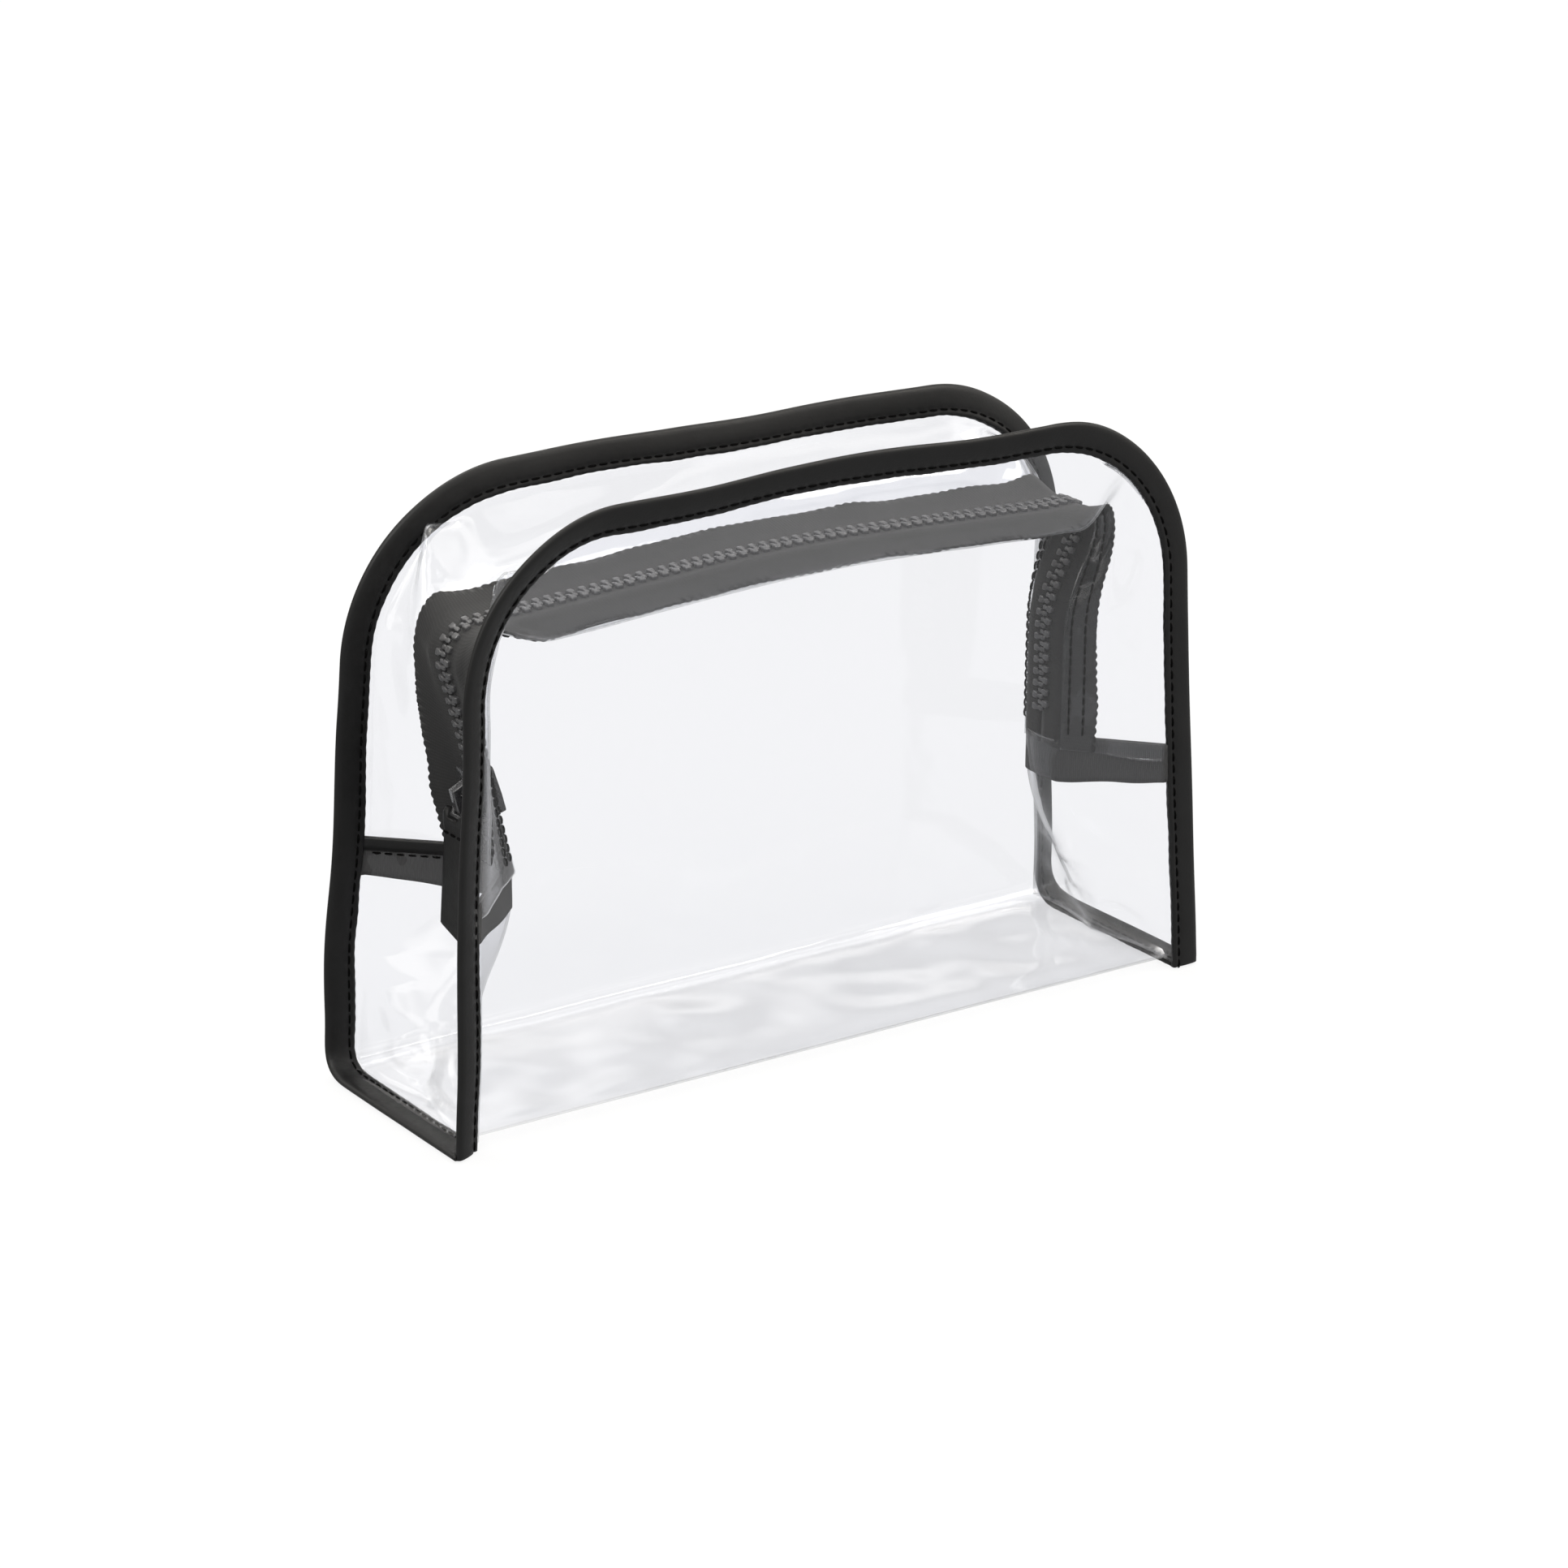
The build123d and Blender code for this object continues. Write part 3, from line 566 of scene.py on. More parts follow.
def lacquer_material():
    """Black lacquered die casting, with a paler metal where edges are rubbed."""
    n = Nodes("slider_metal")
    place = n.place()
    edge = n.add("ShaderNodeNewGeometry").outputs["Pointiness"]
    rub = n.math("MULTIPLY", n.between(edge, 0.0, 1.0), n.noise(place, 700.0, 4.0))
    colour = n.ramp(rub, (0.012, 0.012, 0.013), (0.09, 0.09, 0.095))
    rough = n.between(n.noise(place, 800.0, 3.0), 0.18, 0.36)
    normal = n.bump(n.noise(place, 1400.0, 2.0), 0.015, 0.4)
    return n.principled(Base_Color=colour, Roughness=rough, Normal=normal, Metallic=0.35, Coat_Weight=0.4)


def thread_material():
    n = Nodes("thread")
    place = n.place()
    twist = n.add("ShaderNodeTexWave", {"Vector": place, "Scale": 900.0, "Distortion": 1.5})
    # near-black, darker than the black thread itself: partly the thread's own black, partly painted shade
    # of the stitch grooves and needle holes
    colour = n.ramp(twist.outputs["Fac"], (0.0005,) * 3, (0.002,) * 3)
    rough = n.between(n.noise(place, 900.0, 2.0), 0.5, 0.7)
    normal = n.bump(twist.outputs["Fac"], 0.06, 0.7)
    return n.principled(Base_Color=colour, Roughness=rough, Normal=normal, Specular_IOR_Level=0.03)


FILM_MAT = film_material()
BINDING_MAT = leather_material("leathercloth")
TAPE_MAT = weave_material("zipper_tape", 0.016, 0.9, 0.6, 0.12)
RIB_MAT = weave_material("ribbed_tape", 0.032, 0.55, 4.0, 0.18)
TEETH_MAT = teeth_material()
METAL_MAT = lacquer_material()
THREAD_MAT = thread_material()


# ------------------------------------------------------------------ film


TUCK = 4.0  # film edges reach this far into their binding
STRAP_TUCK = 3.0


def bow(x, z, seed):
    """How far a big panel stands out of its plane: slow dents and waves of soft film."""
    edge = min(1.0, (BASE_HALF - abs(x)) / 30.0)
    wide = wander(x / 70, z / 60, seed) * 1.1 + wander(x / 26, z / 34, seed + 4) * 0.28
    return wide * smooth(0, 1, edge) * smooth(0, 18, z) * smooth(0, 22, FRONT_CROWN_Z - z)


def panel_rows(toward, columns=84, levels=56):
    """Grid of a big panel, from its bottom fold up to the seam, tucked into the binding."""
    t_low = SEAM.at_height(BASE_Z + BOTTOM_FOLD_R)
    rows = []
    for j in range(levels + 1):
        v = j / levels
        left_t, right_t = mix(t_low, CORNER_T, v), 1 - mix(t_low, CORNER_T, v)
        row = []
        for i in range(columns + 1):
            u = i / columns
            left, right = seam_point(left_t, toward), seam_point(right_t, toward)
            a, b = seam_point(t_low, toward), seam_point(1 - t_low, toward)
            low = a * (1 - u) + b * u
            top = seam_point(mix(CORNER_T, 1 - CORNER_T, u), toward)
            side = left * (1 - u) + right * u
            lift = low * (1 - v) + top * v
            c, d = seam_point(CORNER_T, toward), seam_point(1 - CORNER_T, toward)
            corner = (a * (1 - u) + b * u) * (1 - v) + (c * (1 - u) + d * u) * v
            p = side + lift - corner
            y = front_y(p.z) if toward < 0 else back_y(p.z)
            p.y = y + toward * bow(p.x, p.z, toward * 3.0) * smooth(0, 0.08, min(u, 1 - u, 1 - v))
            row.append(p)
        tuck_left = seam_point(left_t, toward) + binding_dir(left_t, toward) * TUCK
        tuck_right = seam_point(right_t, toward) + binding_dir(right_t, toward) * TUCK
        rows.append([tuck_left, *row, tuck_right])
    tucked = []
    for i, p in enumerate(rows[-1]):
        t = mix(CORNER_T, 1 - CORNER_T, min(1, max(0, (i - 1) / columns)))
        tucked.append(seam_point(t, toward) + binding_dir(t, toward) * TUCK)
    rows.append(tucked)
    return rows


def bottom_rows(columns=84, flat_rows=16):
    """Bottom of the bag between the two big panels, with its soft folds."""
    low, high = front_y(BASE_Z), back_y(BASE_Z)
    rows = []
    for share in (0.2, 0.4, 0.6, 0.8, 1.0):
        a = share * math.pi / 2
        z = BASE_Z + BOTTOM_FOLD_R * (1 - math.sin(a))
        rows.append((low + BOTTOM_FOLD_R * (1 - math.cos(a)), z))
    for k in range(1, flat_rows + 1):
        rows.append((mix(low + BOTTOM_FOLD_R, high - BOTTOM_FOLD_R, k / flat_rows), BASE_Z))
    for share in (0.2, 0.4, 0.6, 0.8):
        a = share * math.pi / 2
        z = BASE_Z + BOTTOM_FOLD_R * (1 - math.cos(a))
        rows.append((high - BOTTOM_FOLD_R * (1 - math.sin(a)), z))
    made = []
    for y, z in rows:
        inside = min(y - low, high - y)
        tuck = TUCK * smooth(0, 10, inside)
        row = [Vector((-BASE_HALF - tuck, y, max(z, BASE_Z)))]
        for i in range(columns + 1):
            x = mix(-BASE_HALF, BASE_HALF, i / columns)
            free = smooth(0, 16, BASE_HALF - abs(x)) * smooth(0, 12, inside)
            lift = 0.7 + 0.9 * wander(x / 38, y / 26, 9.0) + 0.3 * wander(x / 14, y / 14, 2.0)
            row.append(Vector((x, y, z + max(0.0, lift) * free)))
        row.append(Vector((BASE_HALF + tuck, y, max(z, BASE_Z))))
        made.append(row)
    return made


def make_body_film():
    front, back = panel_rows(-1), panel_rows(1)
    rows = list(reversed(front)) + bottom_rows() + back
    obj = thicken(grid("film_body", rows), FILM)
    finish_piece(obj, FILM_MAT, "bag", ["body_panel"])


PEAKS = {(-1, -1): 11.0, (-1, 1): 6.0, (1, -1): 12.0, (1, 1): 5.0}  # fold heights, by seam and side
PEAK_AT = {-1: 0.6, 1: 1.4}  # the front fold stands nearer to its seam, the back one to the tape


def corner_peak(t, toward):
    """Height in millimetres of the ridge where the film folds outwards at an upper corner."""
    middle = CORNER_T + (0.012 if toward < 0 else 0.028)
    near, side = min((abs(t - middle), -1), (abs(1 - t - middle), 1))
    away = near * SEAM.length
    shape = 0.55 * math.exp(-((away / 9.0) ** 2)) + 0.45 * math.exp(-away / 3.5)
    return PEAKS[toward, side] * shape


def strip_row(t, toward):
    """Film from its tuck in the binding, out over the strip and onto the outside of the tape."""
    seam, edge, knee, _, out = half_row(t, toward)
    wide = binding_dir(t, toward)
    reach = (edge - seam).length * 0.36
    slope = (edge - knee).normalized()
    line = bezier(seam, seam - wide * reach * 0.8, edge + slope * reach, edge, 12)
    peak = corner_peak(t, toward)
    outward = SEAM.inward(t) * -1
    for i, p in enumerate(line):
        f = i / 12
        swell = math.sin(math.pi * f ** PEAK_AT[toward])
        ripple = 0.45 * wander(t * 30, f * 2, toward * 7) * math.sin(math.pi * f)
        line[i] = p + outward * (peak * swell + ripple)
    lap = []
    for k in range(1, 7):
        f = FILM_OVER_TAPE * k / 6
        lap.append(edge - slope * f + out * (0.55 + 0.12 * wander(t * 60, k, 3.3)))
    line[-1] += out * 0.4
    return [seam + wide * TUCK, *line, *lap]


def make_strip_film(toward, name):
    count = 320
    rows = [strip_row(mix(ZIP_START, 1 - ZIP_START, i / count), toward) for i in range(count + 1)]
    obj = thicken(grid(f"film_{name}_strip", rows), FILM)
    finish_piece(obj, FILM_MAT, "bag", [f"{name}_zip_strip"])


def gusset_line(z, side, count=10):
    """Points across the side gusset at height z, tucked into the bindings."""
    t = SEAM.at_height(z) if side < 0 else 1 - SEAM.at_height(z)
    apex = seam_at_height(z, side) - side * side_fold(z, side)
    middle = (front_y(z) + back_y(z)) / 2
    front, back = seam_point(t, -1), seam_point(t, 1)
    line = [front + binding_dir(t, -1) * TUCK]
    knees = Vector((apex, middle - CHAIN_FLAT, z)), Vector((apex, middle + CHAIN_FLAT, z))
    for a, b, toward in ((front, knees[0], -1), (knees[0], knees[1], 0), (knees[1], back, 1)):
        for k in range(count):
            f = k / count
            p = a.lerp(b, f)
            round_off = math.sin(math.pi * f) * (1.2 if toward == 0 else 0.9)
            line.append(p + Vector((-side * round_off if toward == 0 else side * round_off, 0, 0)))
    line.append(back)
    line.append(seam_point(t, 1) + binding_dir(t, 1) * TUCK)
    return line


def crumple(p, side):
    """Dents and creases of the side film, strongest low down beside the bottom seam."""
    low = smooth(46, 8, p.z) * smooth(1.5, 7, p.z)
    free = smooth(0, 9, min(p.y - front_y(p.z), back_y(p.z) - p.y))
    crease = 1 - abs(wander(p.y / 17 + side, p.z / 9, side * 2.0))
    dents = 2.6 * max(0.0, crease - 0.55) + 0.9 * wander(p.y / 24, p.z / 16, side)
    return free * (low * dents + 0.35 * wander(p.y / 20, p.z / 26, 6.0))


def make_side_film(side, name):
    levels = 44
    rows = []
    foot_x, foot_z = side * (BASE_HALF + TUCK), BASE_Z - 0.7
    rows.append([Vector((foot_x, p.y, foot_z)) for p in gusset_line(BASE_Z + 0.5, side)])
    for j in range(levels + 1):
        z = mix(BASE_Z + 0.3, STRAP_HIGH - 1.0, j / levels)
        line = gusset_line(z, side)
        rows.append([p + Vector((-side * crumple(p, side), 0, 0)) for p in line])
    obj = thicken(grid(f"film_{name}_side", rows), FILM)
    finish_piece(obj, FILM_MAT, "bag", [f"{name}_gusset"])


# ------------------------------------------------------------------ zipper


def scallop(s, toward):
    """How far the woven edge's loops and its uneven cut stand out at s along it, in millimetres."""
    loops = 0.5 * abs(math.sin(math.pi * s / 2.6)) * (0.7 + 0.6 * abs(wander(s / 11, toward)))
    return loops + 0.55 * wander(s / 19, toward + 4.0)


def make_tape(toward, name):
    count = 900
    rows = []
    span = (1 - 2 * ZIP_START) * SEAM.length
    for i in range(count + 1):
        t = mix(ZIP_START, 1 - ZIP_START, i / count)
        _, edge, knee, chain, out = half_row(t, toward)
        outer = (edge - knee).normalized()
        rim = edge + outer * scallop(span * i / count, toward)
        wave = out * (0.5 * wander(t * 34, toward * 3.0))
        row = [rim + wave, edge + wave * 0.8]
        row += [edge.lerp(knee, k / 5) + wave * (0.8 * (1 - k / 5)) for k in range(1, 5)]
        inner = chain + (knee - chain).normalized() * 0.3
        rounded = knee + out * -0.35
        row += [rounded] + [knee.lerp(inner, k / 4) for k in range(1, 5)]
        rows.append(row)
    obj = thicken(grid(f"tape_{name}", rows), TAPE)
    finish_piece(obj, TAPE_MAT, "bag", [f"{name}_zipper_tape"])


TAPE_STITCH_LINES = (2.6, 6.4)  # from the tape's woven edge


def make_tape_stitches(toward, name):
    stitches = []
    count = int((1 - 2 * ZIP_START) * SEAM.length / STITCH)
    for line_at in TAPE_STITCH_LINES:
        for i in range(2, count - 1):
            t = mix(ZIP_START, 1 - ZIP_START, i / count)
            _, edge, knee, _, out = half_row(t, toward)
            slope = (knee - edge).normalized()
            ahead = half_row(t + 0.002, toward)[1]
            along = (ahead - edge).normalized()
            normal = surface_out(along, slope, out)
            stitches.append((edge + slope * line_at + normal * 0.78, along, normal, STITCH * 0.78))
    obj = stitch_mesh(f"stitches_{name}_tape", stitches)
    finish_piece(obj, THREAD_MAT, "bag", [f"{name}_tape_thread"])


# one moulded tooth, from its head, past the chain's middle, to its root on the tape:
# distance from the middle, half length along the chain, half height
TOOTH = (
    (-1.0, 0.42, 0.75), (-0.7, 0.62, 1.0), (0.1, 0.66, 1.1), (0.55, 0.42, 1.15),
    (1.0, 0.55, 1.28), (1.35, 0.86, 1.3), (2.7, 0.86, 1.3), (3.0, 0.6, 1.05),
)
TOOTH_PITCH = 3.2
CHAIN_END = 2.0  # the teeth start this far from the tape's end
TOOTH_CUT = 0.22  # its corners are cut off by this much


def make_teeth(toward, name):
    """Moulded teeth of one tape; the two rows mesh half a pitch apart."""
    start = KNOTS[0][0] / SEAM.length
    chain = np.array([tuple(gusset_row(mix(start, 1 - start, i / 900))[3]) for i in range(901)])
    at = np.concatenate([[0.0], np.cumsum(np.linalg.norm(np.diff(chain, axis=0), axis=1))])

    def spot(s):
        return Vector([np.interp(s, at, chain[:, k]) for k in range(3)])

    verts, faces = [], []
    first = CHAIN_END if toward < 0 else CHAIN_END + TOOTH_PITCH / 2
    for i in range(int((at[-1] - 2 * CHAIN_END) / TOOTH_PITCH)):
        s = first + i * TOOTH_PITCH
        along = (spot(s + 0.8) - spot(s - 0.8)).normalized()
        across = Vector((0, toward, 0))
        across = (across - along * across.dot(along)).normalized()
        tall = along.cross(across)
        base = len(verts)
        for u, half, high in TOOTH:
            ring = [(half, high - TOOTH_CUT), (half - TOOTH_CUT, high)]
            ring += [(-x, y) for x, y in reversed(ring)]
            ring += [(-x, -y) for x, y in ring]
            for x, y in ring:
                verts.append(tuple((spot(s) + across * u + along * x + tall * y) * MM))
        for r in range(len(TOOTH) - 1):
            for k in range(8):
                a, b = base + r * 8 + k, base + r * 8 + (k + 1) % 8
                faces.append((a, b, b + 8, a + 8))
        faces.append(tuple(base + k for k in reversed(range(8))))
        faces.append(tuple(base + (len(TOOTH) - 1) * 8 + k for k in range(8)))
    mesh = bpy.data.meshes.new(f"teeth_{name}")
    mesh.from_pydata(verts, [], faces)
    obj = bpy.data.objects.new(f"teeth_{name}", mesh)
    SCENE.collection.objects.link(obj)
    bevel = obj.modifiers.new("round", "BEVEL")
    bevel.width, bevel.segments, bevel.limit_method = 0.08 * MM, 2, "ANGLE"
    finish_piece(obj, TEETH_MAT, "bag", [f"{name}_zipper_teeth"])


def soften_cad(node, material, width):
    """Keeps a CAD node and gives it rounded edges and its material."""
    obj = frame["nodes"][node]
    obj.data.materials.clear()
    obj.data.materials.append(material)
    weld = obj.modifiers.new("weld", "WELD")
    weld.merge_threshold = 0.00001
    bevel = obj.modifiers.new("round", "BEVEL")
    bevel.width = width * MM
    bevel.segments = 2
    bevel.limit_method = "ANGLE"
    bevel.angle_limit = math.radians(35)
    bevel.harden_normals = True
    obj.data.polygons.foreach_set("use_smooth", [True] * len(obj.data.polygons))
    return obj


# ------------------------------------------------------------------ bindings


PROFILE = (
    (0.0, 0.50), (0.25, 0.74), (0.9, 0.84), (1.6, 0.0), (2.3, 0.88), (3.4, 1.02), (4.8, 1.05),
    (6.2, 1.0), (7.2, 0.84), (7.75, 0.52),
)


STITCH_FACE = 0.66  # from the binding's middle to its stitches


def binding_profile(travelled, seed):
    """Section of the folded strip: its two plies pinch at the stitch line and puff outside it."""
    near_hole = math.cos(math.tau * travelled / STITCH)
    groove = 0.6 - 0.16 * near_hole
    wide = BINDING_WIDE + 0.25 * wander(travelled / 37, seed)
    edge = 0.16 * wander(travelled / 9, seed + 2) + 0.06 * near_hole
    front = []
    for w, h in PROFILE:
        h = groove if h == 0.0 else h * (1 + 0.06 * wander(travelled / 14, w / 3, seed))
        front.append((mix(edge, wide, w / BINDING_WIDE), h))
    tip = [(wide, 0.0)]
    back = [(w, -h) for w, h in reversed(front)]
    return front + tip + back


def stitch_runs(points, wides, offset=STITCH_INSET):
    """Stitches on both faces of a binding, one for each stitch length along its path."""
    found, travelled, due = [], 0.0, STITCH / 2
    for i in range(1, len(points) - 1):
        travelled += (points[i] - points[i - 1]).length
        if travelled < due:
            continue
        due += STITCH
        along = (points[i + 1] - points[i - 1]).normalized()
        wide = (wides[i] - along * wides[i].dot(along)).normalized()
        tall = along.cross(wide)
        for face in (-1, 1):
            middle = points[i] + wide * offset + tall * (face * STITCH_FACE)
            found.append((middle, along, tall * face, STITCH * 0.8))
    return found


def binding_line(toward):
    """Middle line and width directions of a binding along the seam outline."""
    points, wides = [], []
    for i in range(501):
        t = i / 500
        wide = binding_dir(t, toward)
        points.append(seam_point(t, toward) + SEAM.inward(t) * -BINDING_GAP)
        wides.append(wide)
    return points, wides


def make_front_binding():
    points, wides = binding_line(-1)
    foot_l, foot_r = points[0].copy(), points[-1].copy()
    foot_l.z = foot_r.z = 0.6
    points, wides = respace([foot_l, *points, foot_r], [wides[0], *wides, wides[-1]], 0.8)
    rows = sweep_rows(points, wides, lambda s: binding_profile(s, 1.0))
    obj = grid("binding_front", rows, ring=True)
    finish_piece(obj, BINDING_MAT, "bag", ["front_binding"])
    thread = stitch_mesh("stitches_front_binding", stitch_runs(points, wides))
    finish_piece(thread, THREAD_MAT, "bag", ["front_binding_thread"])


RAIL_Z = 1.2  # height of the bottom side bindings' middle
RAIL_ENDS = 8  # rings at a rail's front end, slanted to close against the front binding


def rail_line(side):
    """From the front corner back along a bottom side seam, then turning up into the back seam."""
    x = side * (BASE_HALF + BINDING_GAP)
    start_y, end_y = -BASE_DEPTH / 2 + 1.0, BASE_DEPTH / 2 - 9.0
    ahead = [Vector((x, mix(start_y, end_y, k / 14), RAIL_Z)) for k in range(15)]
    start_t = SEAM.at_height(BASE_Z + 8.0)
    t = start_t if side < 0 else 1 - start_t
    up = seam_point(t, 1) + SEAM.inward(t) * -BINDING_GAP
    knee, rise = Vector((x, BASE_DEPTH / 2 - 3.0, RAIL_Z)), Vector((x, up.y, 3.0))
    turn = bezier(ahead[-1], knee, rise, up, 10)[1:-1]
    level, last = Vector((side, 0, 0)), binding_dir(t, 1)
    wides = [level] * len(ahead)
    wides += [level.lerp(last, smooth(0, 1, (k + 1) / 9)).normalized() for k in range(len(turn))]
    return ahead + turn, wides, start_t


def make_back_binding():
    left, left_wide, start_t = rail_line(-1)
    right, right_wide, _ = rail_line(1)
    middle, middle_wide = [], []
    for i in range(481):
        t = mix(start_t, 1 - start_t, i / 480)
        middle.append(seam_point(t, 1) + SEAM.inward(t) * -BINDING_GAP)
        middle_wide.append(binding_dir(t, 1))
    line = left + middle + right[::-1]
    points, wides = respace(line, left_wide + middle_wide + right_wide[::-1], 0.8)
    rows = sweep_rows(points, wides, lambda s: binding_profile(s, 5.0))
    for side, near in ((-1, rows[:RAIL_ENDS]), (1, rows[: -RAIL_ENDS - 1 : -1])):
        slant = math.tan(math.radians(SIDE_TILTS[-1, side]))
        for k, row in enumerate(near):
            for p in row:
                p.y -= max(0.0, abs(p.x) - BASE_HALF) * slant * (1 - smooth(0, RAIL_ENDS, k))
    obj = grid("binding_back", rows, ring=True)
    finish_piece(obj, BINDING_MAT, "bag", ["back_binding"])
    thread = stitch_mesh("stitches_back_binding", stitch_runs(points, wides))
    finish_piece(thread, THREAD_MAT, "bag", ["back_binding_thread"])


# ------------------------------------------------------------------ crossing straps


def strap_path(side, offset=0.0, tuck=False):
    """Points across a crossing strap at its middle height, with a rounded bend at each knee."""
    z = (STRAP_LOW + STRAP_HIGH) / 2
    t = SEAM.at_height(z) if side < 0 else 1 - SEAM.at_height(z)
    apex = seam_at_height(z, side) - side * side_fold(z, side)
    middle = (front_y(z) + back_y(z)) / 2
    front, back = seam_point(t, -1), seam_point(t, 1)
    corners = [(front.x, front.y), (apex, middle - CHAIN_FLAT)]
    corners += [(apex, middle + CHAIN_FLAT), (back.x, back.y)]
    radii = [3.0, 3.0]
    if tuck:
        ahead = front + binding_dir(t, -1) * STRAP_TUCK
        behind = back + binding_dir(t, 1) * STRAP_TUCK
        corners = [(ahead.x, ahead.y), *corners, (behind.x, behind.y)]
        radii = [0.8, *radii, 0.8]
    line = rounded_path([(x + side * offset, y) for x, y in corners], radii, 0.5)
    spaced = []
    steps = np.concatenate([[0.0], np.cumsum(np.linalg.norm(np.diff(line, axis=0), axis=1))])
    for s in np.linspace(0, steps[-1], int(steps[-1] / 0.5)):
        spaced.append((np.interp(s, steps, line[:, 0]), np.interp(s, steps, line[:, 1]), s / steps[-1]))
    return spaced


# section of the straps' folded edging: height from its middle, then distance outwards
EDGING = (
    (-1.6, 0.3), (-1.45, 0.5), (-0.6, 0.62), (0.6, 0.62), (1.45, 0.5), (1.75, 0.15),
    (1.75, -0.35), (1.2, -0.45), (-1.6, -0.3),
)


def make_strap(side, name):
    low, high = STRAP_LOW, STRAP_HIGH
    rows = []
    for px, py, f in strap_path(side, tuck=True):
        sag = 2.4 * math.sin(math.pi * f) ** 2 + 0.35 * wander(f * 6, side)
        row = []
        for k in range(9):
            z = mix(low, high, k / 8)
            drop = sag * (1 - k / 8)
            row.append(Vector((px + side * 0.25 * wander(f * 7, k / 5, side), py, z - drop)))
        rows.append(row)
    obj = thicken(grid(f"strap_{name}", rows), 0.8)
    finish_piece(obj, RIB_MAT, "bag", [f"{name}_crossing_tape"])

    trim_mid = high - 1.6
    points = [Vector((px, py, trim_mid)) for px, py, f in strap_path(side, offset=0.85)]
    wides = [Vector((0, 0, 1))] * len(points)
    rows = sweep_rows(points, wides, lambda s: [(w, h * -side) for w, h in EDGING])
    trim = grid(f"strap_edging_{name}", rows, ring=True)
    finish_piece(trim, BINDING_MAT, "bag", [f"{name}_crossing_binding"])

    stitches = []
    line = strap_path(side, offset=0.45)
    step = max(1, int(STITCH / 0.5))
    for i in range(step, len(line) - step, step):
        a, b = line[i - 1], line[i + 1]
        along = Vector((b[0] - a[0], b[1] - a[1], 0)).normalized()
        out = surface_out(along, Vector((0, 0, 1)), Vector((side, 0, 0)))
        stitches.append((Vector((line[i][0], line[i][1], high - 4.0)), along, out, STITCH * 0.78))
    thread = stitch_mesh(f"stitches_{name}_strap", stitches)
    finish_piece(thread, THREAD_MAT, "bag", [f"{name}_crossing_thread"])


# ------------------------------------------------------------------ slider and pull


LINK_JOINT = next(j for j in frame["joints"] if j["name"] == "strap_swing")
PULL_LEAN = math.radians(4.0)
PULL_LONG = 31.0
PULL_WIDE = 10.0
PULL_HALF = 1.02  # half its thickness
PULL_LOOP = 1.55  # outer radius of its fold round the crossbar
PULL_SLANT = math.tan(math.radians(15))  # its end is cut aslant
NOTCH_HALF = 3.2  # half the width of the fold's notch for the link
PULL_STITCHES = (-3.2, 0.0, 3.2)


def make_pull():
    """Strap folded over the link's crossbar: a loop at the top, two plies below, a slanted end."""
    pivot = Vector(LINK_JOINT["pos_m"]) / MM
    down = Vector((-math.sin(PULL_LEAN), 0, -math.cos(PULL_LEAN)))
    across = Vector((0, -1, 0))
    out = down.cross(across)
    if out.x > 0:
        out = out * -1
    outer = [(d, PULL_HALF) for d in np.linspace(4.5, PULL_LONG - 0.6, 22)]
    tip = [(PULL_LONG - 0.15, PULL_HALF * 0.7), (PULL_LONG, 0.0), (PULL_LONG - 0.15, -PULL_HALF * 0.7)]
    inner = [(d, -PULL_HALF) for d in np.linspace(PULL_LONG - 0.6, 4.5, 22)]
    turns = [math.pi * k / 16 for k in range(17)]
    arc = [(-PULL_LOOP * math.sin(a), -PULL_LOOP * math.cos(a)) for a in turns]
    neck = PULL_LOOP * 0.92
    outline = arc + [(2.2, neck)] + outer + tip + inner + [(2.2, -neck)]
    rows = []
    columns = 20
    for i in range(columns + 1):
        f = i / columns
        w = mix(-PULL_WIDE / 2, PULL_WIDE / 2, f)
        edge = smooth(0, 0.07, min(f, 1 - f))
        slant = (f - 0.5) * PULL_WIDE * PULL_SLANT
        row = []
        for d, h in outline:
            stretch = smooth(PULL_LONG * 0.55, PULL_LONG, d)
            notch = smooth(0.0, 0.9, NOTCH_HALF - abs(w)) if d < 1.3 else 0.0
            at = d + (slant - abs(PULL_WIDE / 2 * PULL_SLANT)) * stretch
            if notch > 0 and d < 0.4:
                at = mix(at, 0.4, notch)
            row.append(pivot + down * at + out * (h * mix(0.55, 1.0, edge)) + across * w)
        rows.append(row)
    obj = grid("pull_leather", rows, ring=True)
    finish_piece(obj, BINDING_MAT, "pull", ["pull_strap"])
    stitches = []
    for w in PULL_STITCHES:
        for face in (-1, 1):
            middle = pivot + down * 4.6 + across * w + out * (face * 1.05)
            stitches.append((middle, across, out * face, 2.4))
    thread = stitch_mesh("stitches_pull", stitches)
    finish_piece(thread, THREAD_MAT, "pull", ["pull_thread"])


# ------------------------------------------------------------------ build


make_body_film()
for toward, name in ((-1, "front"), (1, "back")):
    make_strip_film(toward, name)
    make_tape(toward, name)
    make_tape_stitches(toward, name)
    make_teeth(toward, name)
for side, name in ((-1, "left"), (1, "right")):
    make_side_film(side, name)
    make_strap(side, name)
make_front_binding()
make_back_binding()
make_pull()
soften_cad("slider_body", METAL_MAT, 0.25)
soften_cad("slider_lower_wing", METAL_MAT, 0.25)
soften_cad("pull_link", METAL_MAT, 0.3)


# ------------------------------------------------------------------ camera, floor and light


CAMERA_AZIMUTH = math.radians(-33.896)  # from straight in front, to the left
CAMERA_ELEVATION = math.radians(19.546)
CAMERA_DISTANCE = 1.2149
CAMERA_TARGET = Vector((-0.0017, -0.0074, 0.0661))
CAMERA_LENS = 111.82


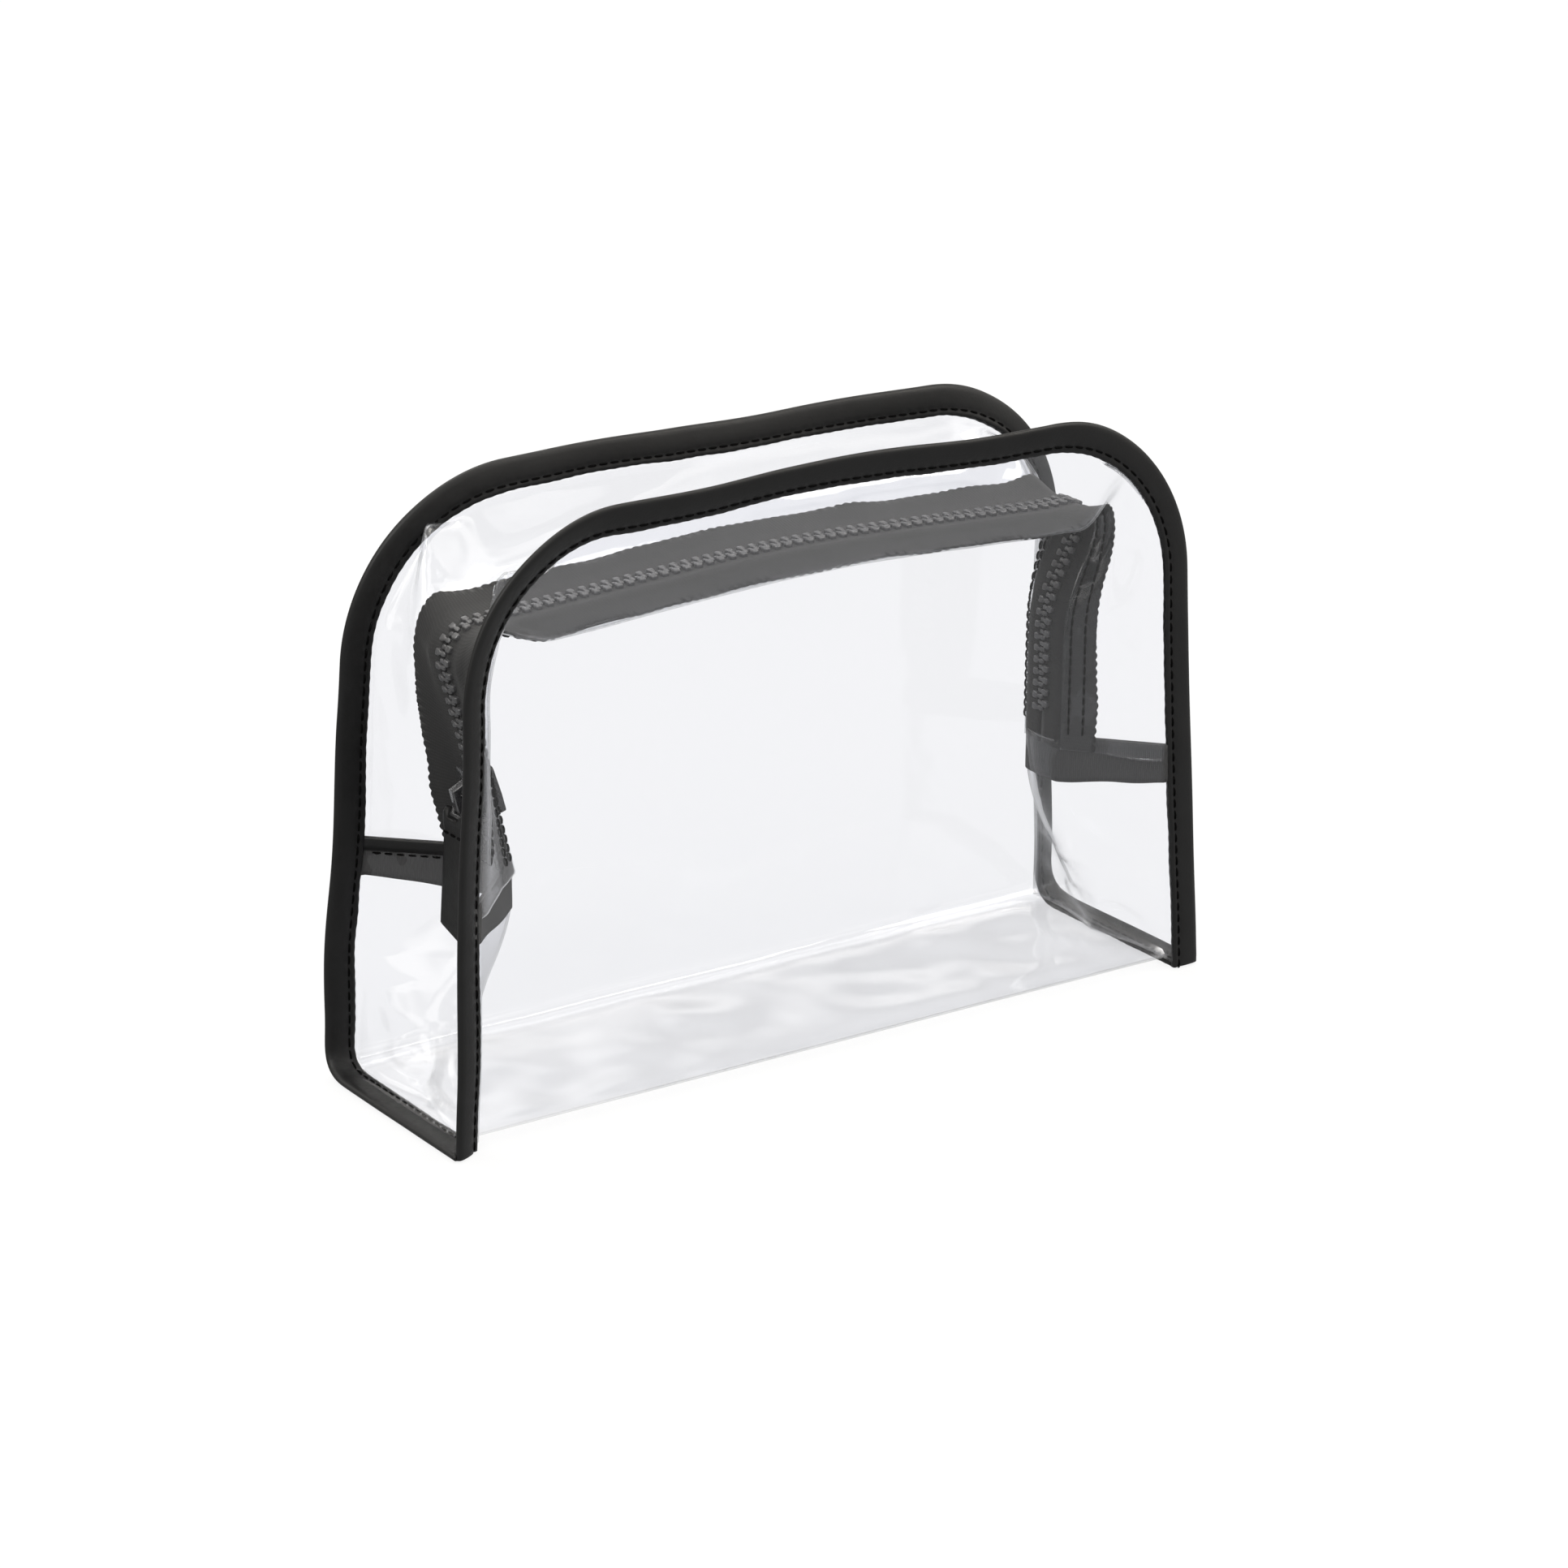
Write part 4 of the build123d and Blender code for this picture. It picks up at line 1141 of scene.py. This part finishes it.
def make_camera():
    level = math.cos(CAMERA_ELEVATION)
    back = Vector((
        math.sin(CAMERA_AZIMUTH) * level, -math.cos(CAMERA_AZIMUTH) * level, math.sin(CAMERA_ELEVATION),
    ))
    data = bpy.data.cameras.new("camera")
    data.lens, data.sensor_width = CAMERA_LENS, 36.0
    data.clip_start, data.clip_end = 0.05, 30
    camera = bpy.data.objects.new("camera", data)
    camera.location = CAMERA_TARGET + back * CAMERA_DISTANCE
    camera.rotation_euler = (-back).to_track_quat("-Z", "Y").to_euler()
    SCENE.collection.objects.link(camera)
    SCENE.camera = camera


def make_floor():
    """Pale floor: white to the camera, a little dimmer in the object's reflections."""
    n = Nodes("floor")
    white = n.add("ShaderNodeBsdfDiffuse", {"Color": (0.95, 0.95, 0.95, 1)})
    glow = n.add("ShaderNodeEmission", {"Color": (1, 1, 1, 1), "Strength": 0.94})
    pale = n.add("ShaderNodeMixShader", {0: 0.92, 1: white.outputs[0], 2: glow.outputs[0]})
    dim = n.add("ShaderNodeEmission", {"Color": (1, 1, 1, 1), "Strength": 0.6})
    seen = n.add("ShaderNodeLightPath").outputs["Is Camera Ray"]
    both = n.add("ShaderNodeMixShader", {0: seen, 1: dim.outputs[0], 2: pale.outputs[0]})
    n.tree.links.new(both.outputs[0], n.out.inputs["Surface"])
    mesh = bpy.data.meshes.new("floor")
    mesh.from_pydata([(-6, -6, 0), (6, -6, 0), (6, 6, 0), (-6, 6, 0)], [], [(0, 1, 2, 3)])
    floor = bpy.data.objects.new("floor", mesh)
    mesh.materials.append(n.made)
    SCENE.collection.objects.link(floor)


def softbox(name, place, size, power, colour=(1, 1, 1)):
    data = bpy.data.lights.new(name, "AREA")
    data.shape, data.size, data.size_y = "RECTANGLE", size[0], size[1]
    data.energy, data.color = power, colour
    light = bpy.data.objects.new(name, data)
    light.location = place
    light.rotation_euler = (Vector((0, 0, 0.07)) - Vector(place)).to_track_quat("-Z", "Y").to_euler()
    SCENE.collection.objects.link(light)


def make_world():
    """White straight behind the object; a dimmer room with bright bands for light and reflections."""
    n = Nodes("studio", world=True)
    way = n.add("ShaderNodeTexCoord").outputs["Generated"]
    sep = n.add("ShaderNodeSeparateXYZ", {0: way})
    up = n.math("MULTIPLY_ADD", sep.outputs[2], 0.25, 0.1)
    level = n.math("ADD", up, n.noise(way, 2.4, 1.5))
    ramp = n.add("ShaderNodeValToRGB", {"Fac": level})
    dark, light = ramp.color_ramp.elements
    dark.position, light.position = 0.62, 0.74
    dark.color = (0.09, 0.085, 0.08, 1)
    light.color = (2.0, 1.95, 1.85, 1)
    room = n.add("ShaderNodeBackground", {"Color": ramp.outputs["Color"], "Strength": 1.0})
    white = n.add("ShaderNodeBackground", {"Color": (1, 1, 1, 1), "Strength": 1.0})
    seen = n.add("ShaderNodeLightPath").outputs["Is Camera Ray"]
    both = n.add("ShaderNodeMixShader", {0: seen, 1: room.outputs[0], 2: white.outputs[0]})
    n.tree.links.new(both.outputs[0], n.out.inputs["Surface"])
    SCENE.world = n.made


make_camera()
make_floor()
softbox("key", (-1.1, -0.9, 1.3), (0.9, 0.9), 16)
softbox("fill", (0.95, -0.55, 1.15), (0.45, 0.7), 9, (1.0, 0.95, 0.88))
softbox("top", (0.1, 0.6, 1.6), (1.2, 0.7), 12, (1.0, 0.98, 0.95))
make_world()
SCENE.view_settings.view_transform = "Standard"
SCENE.cycles.transparent_max_bounces = 48
SCENE.cycles.max_bounces = 10
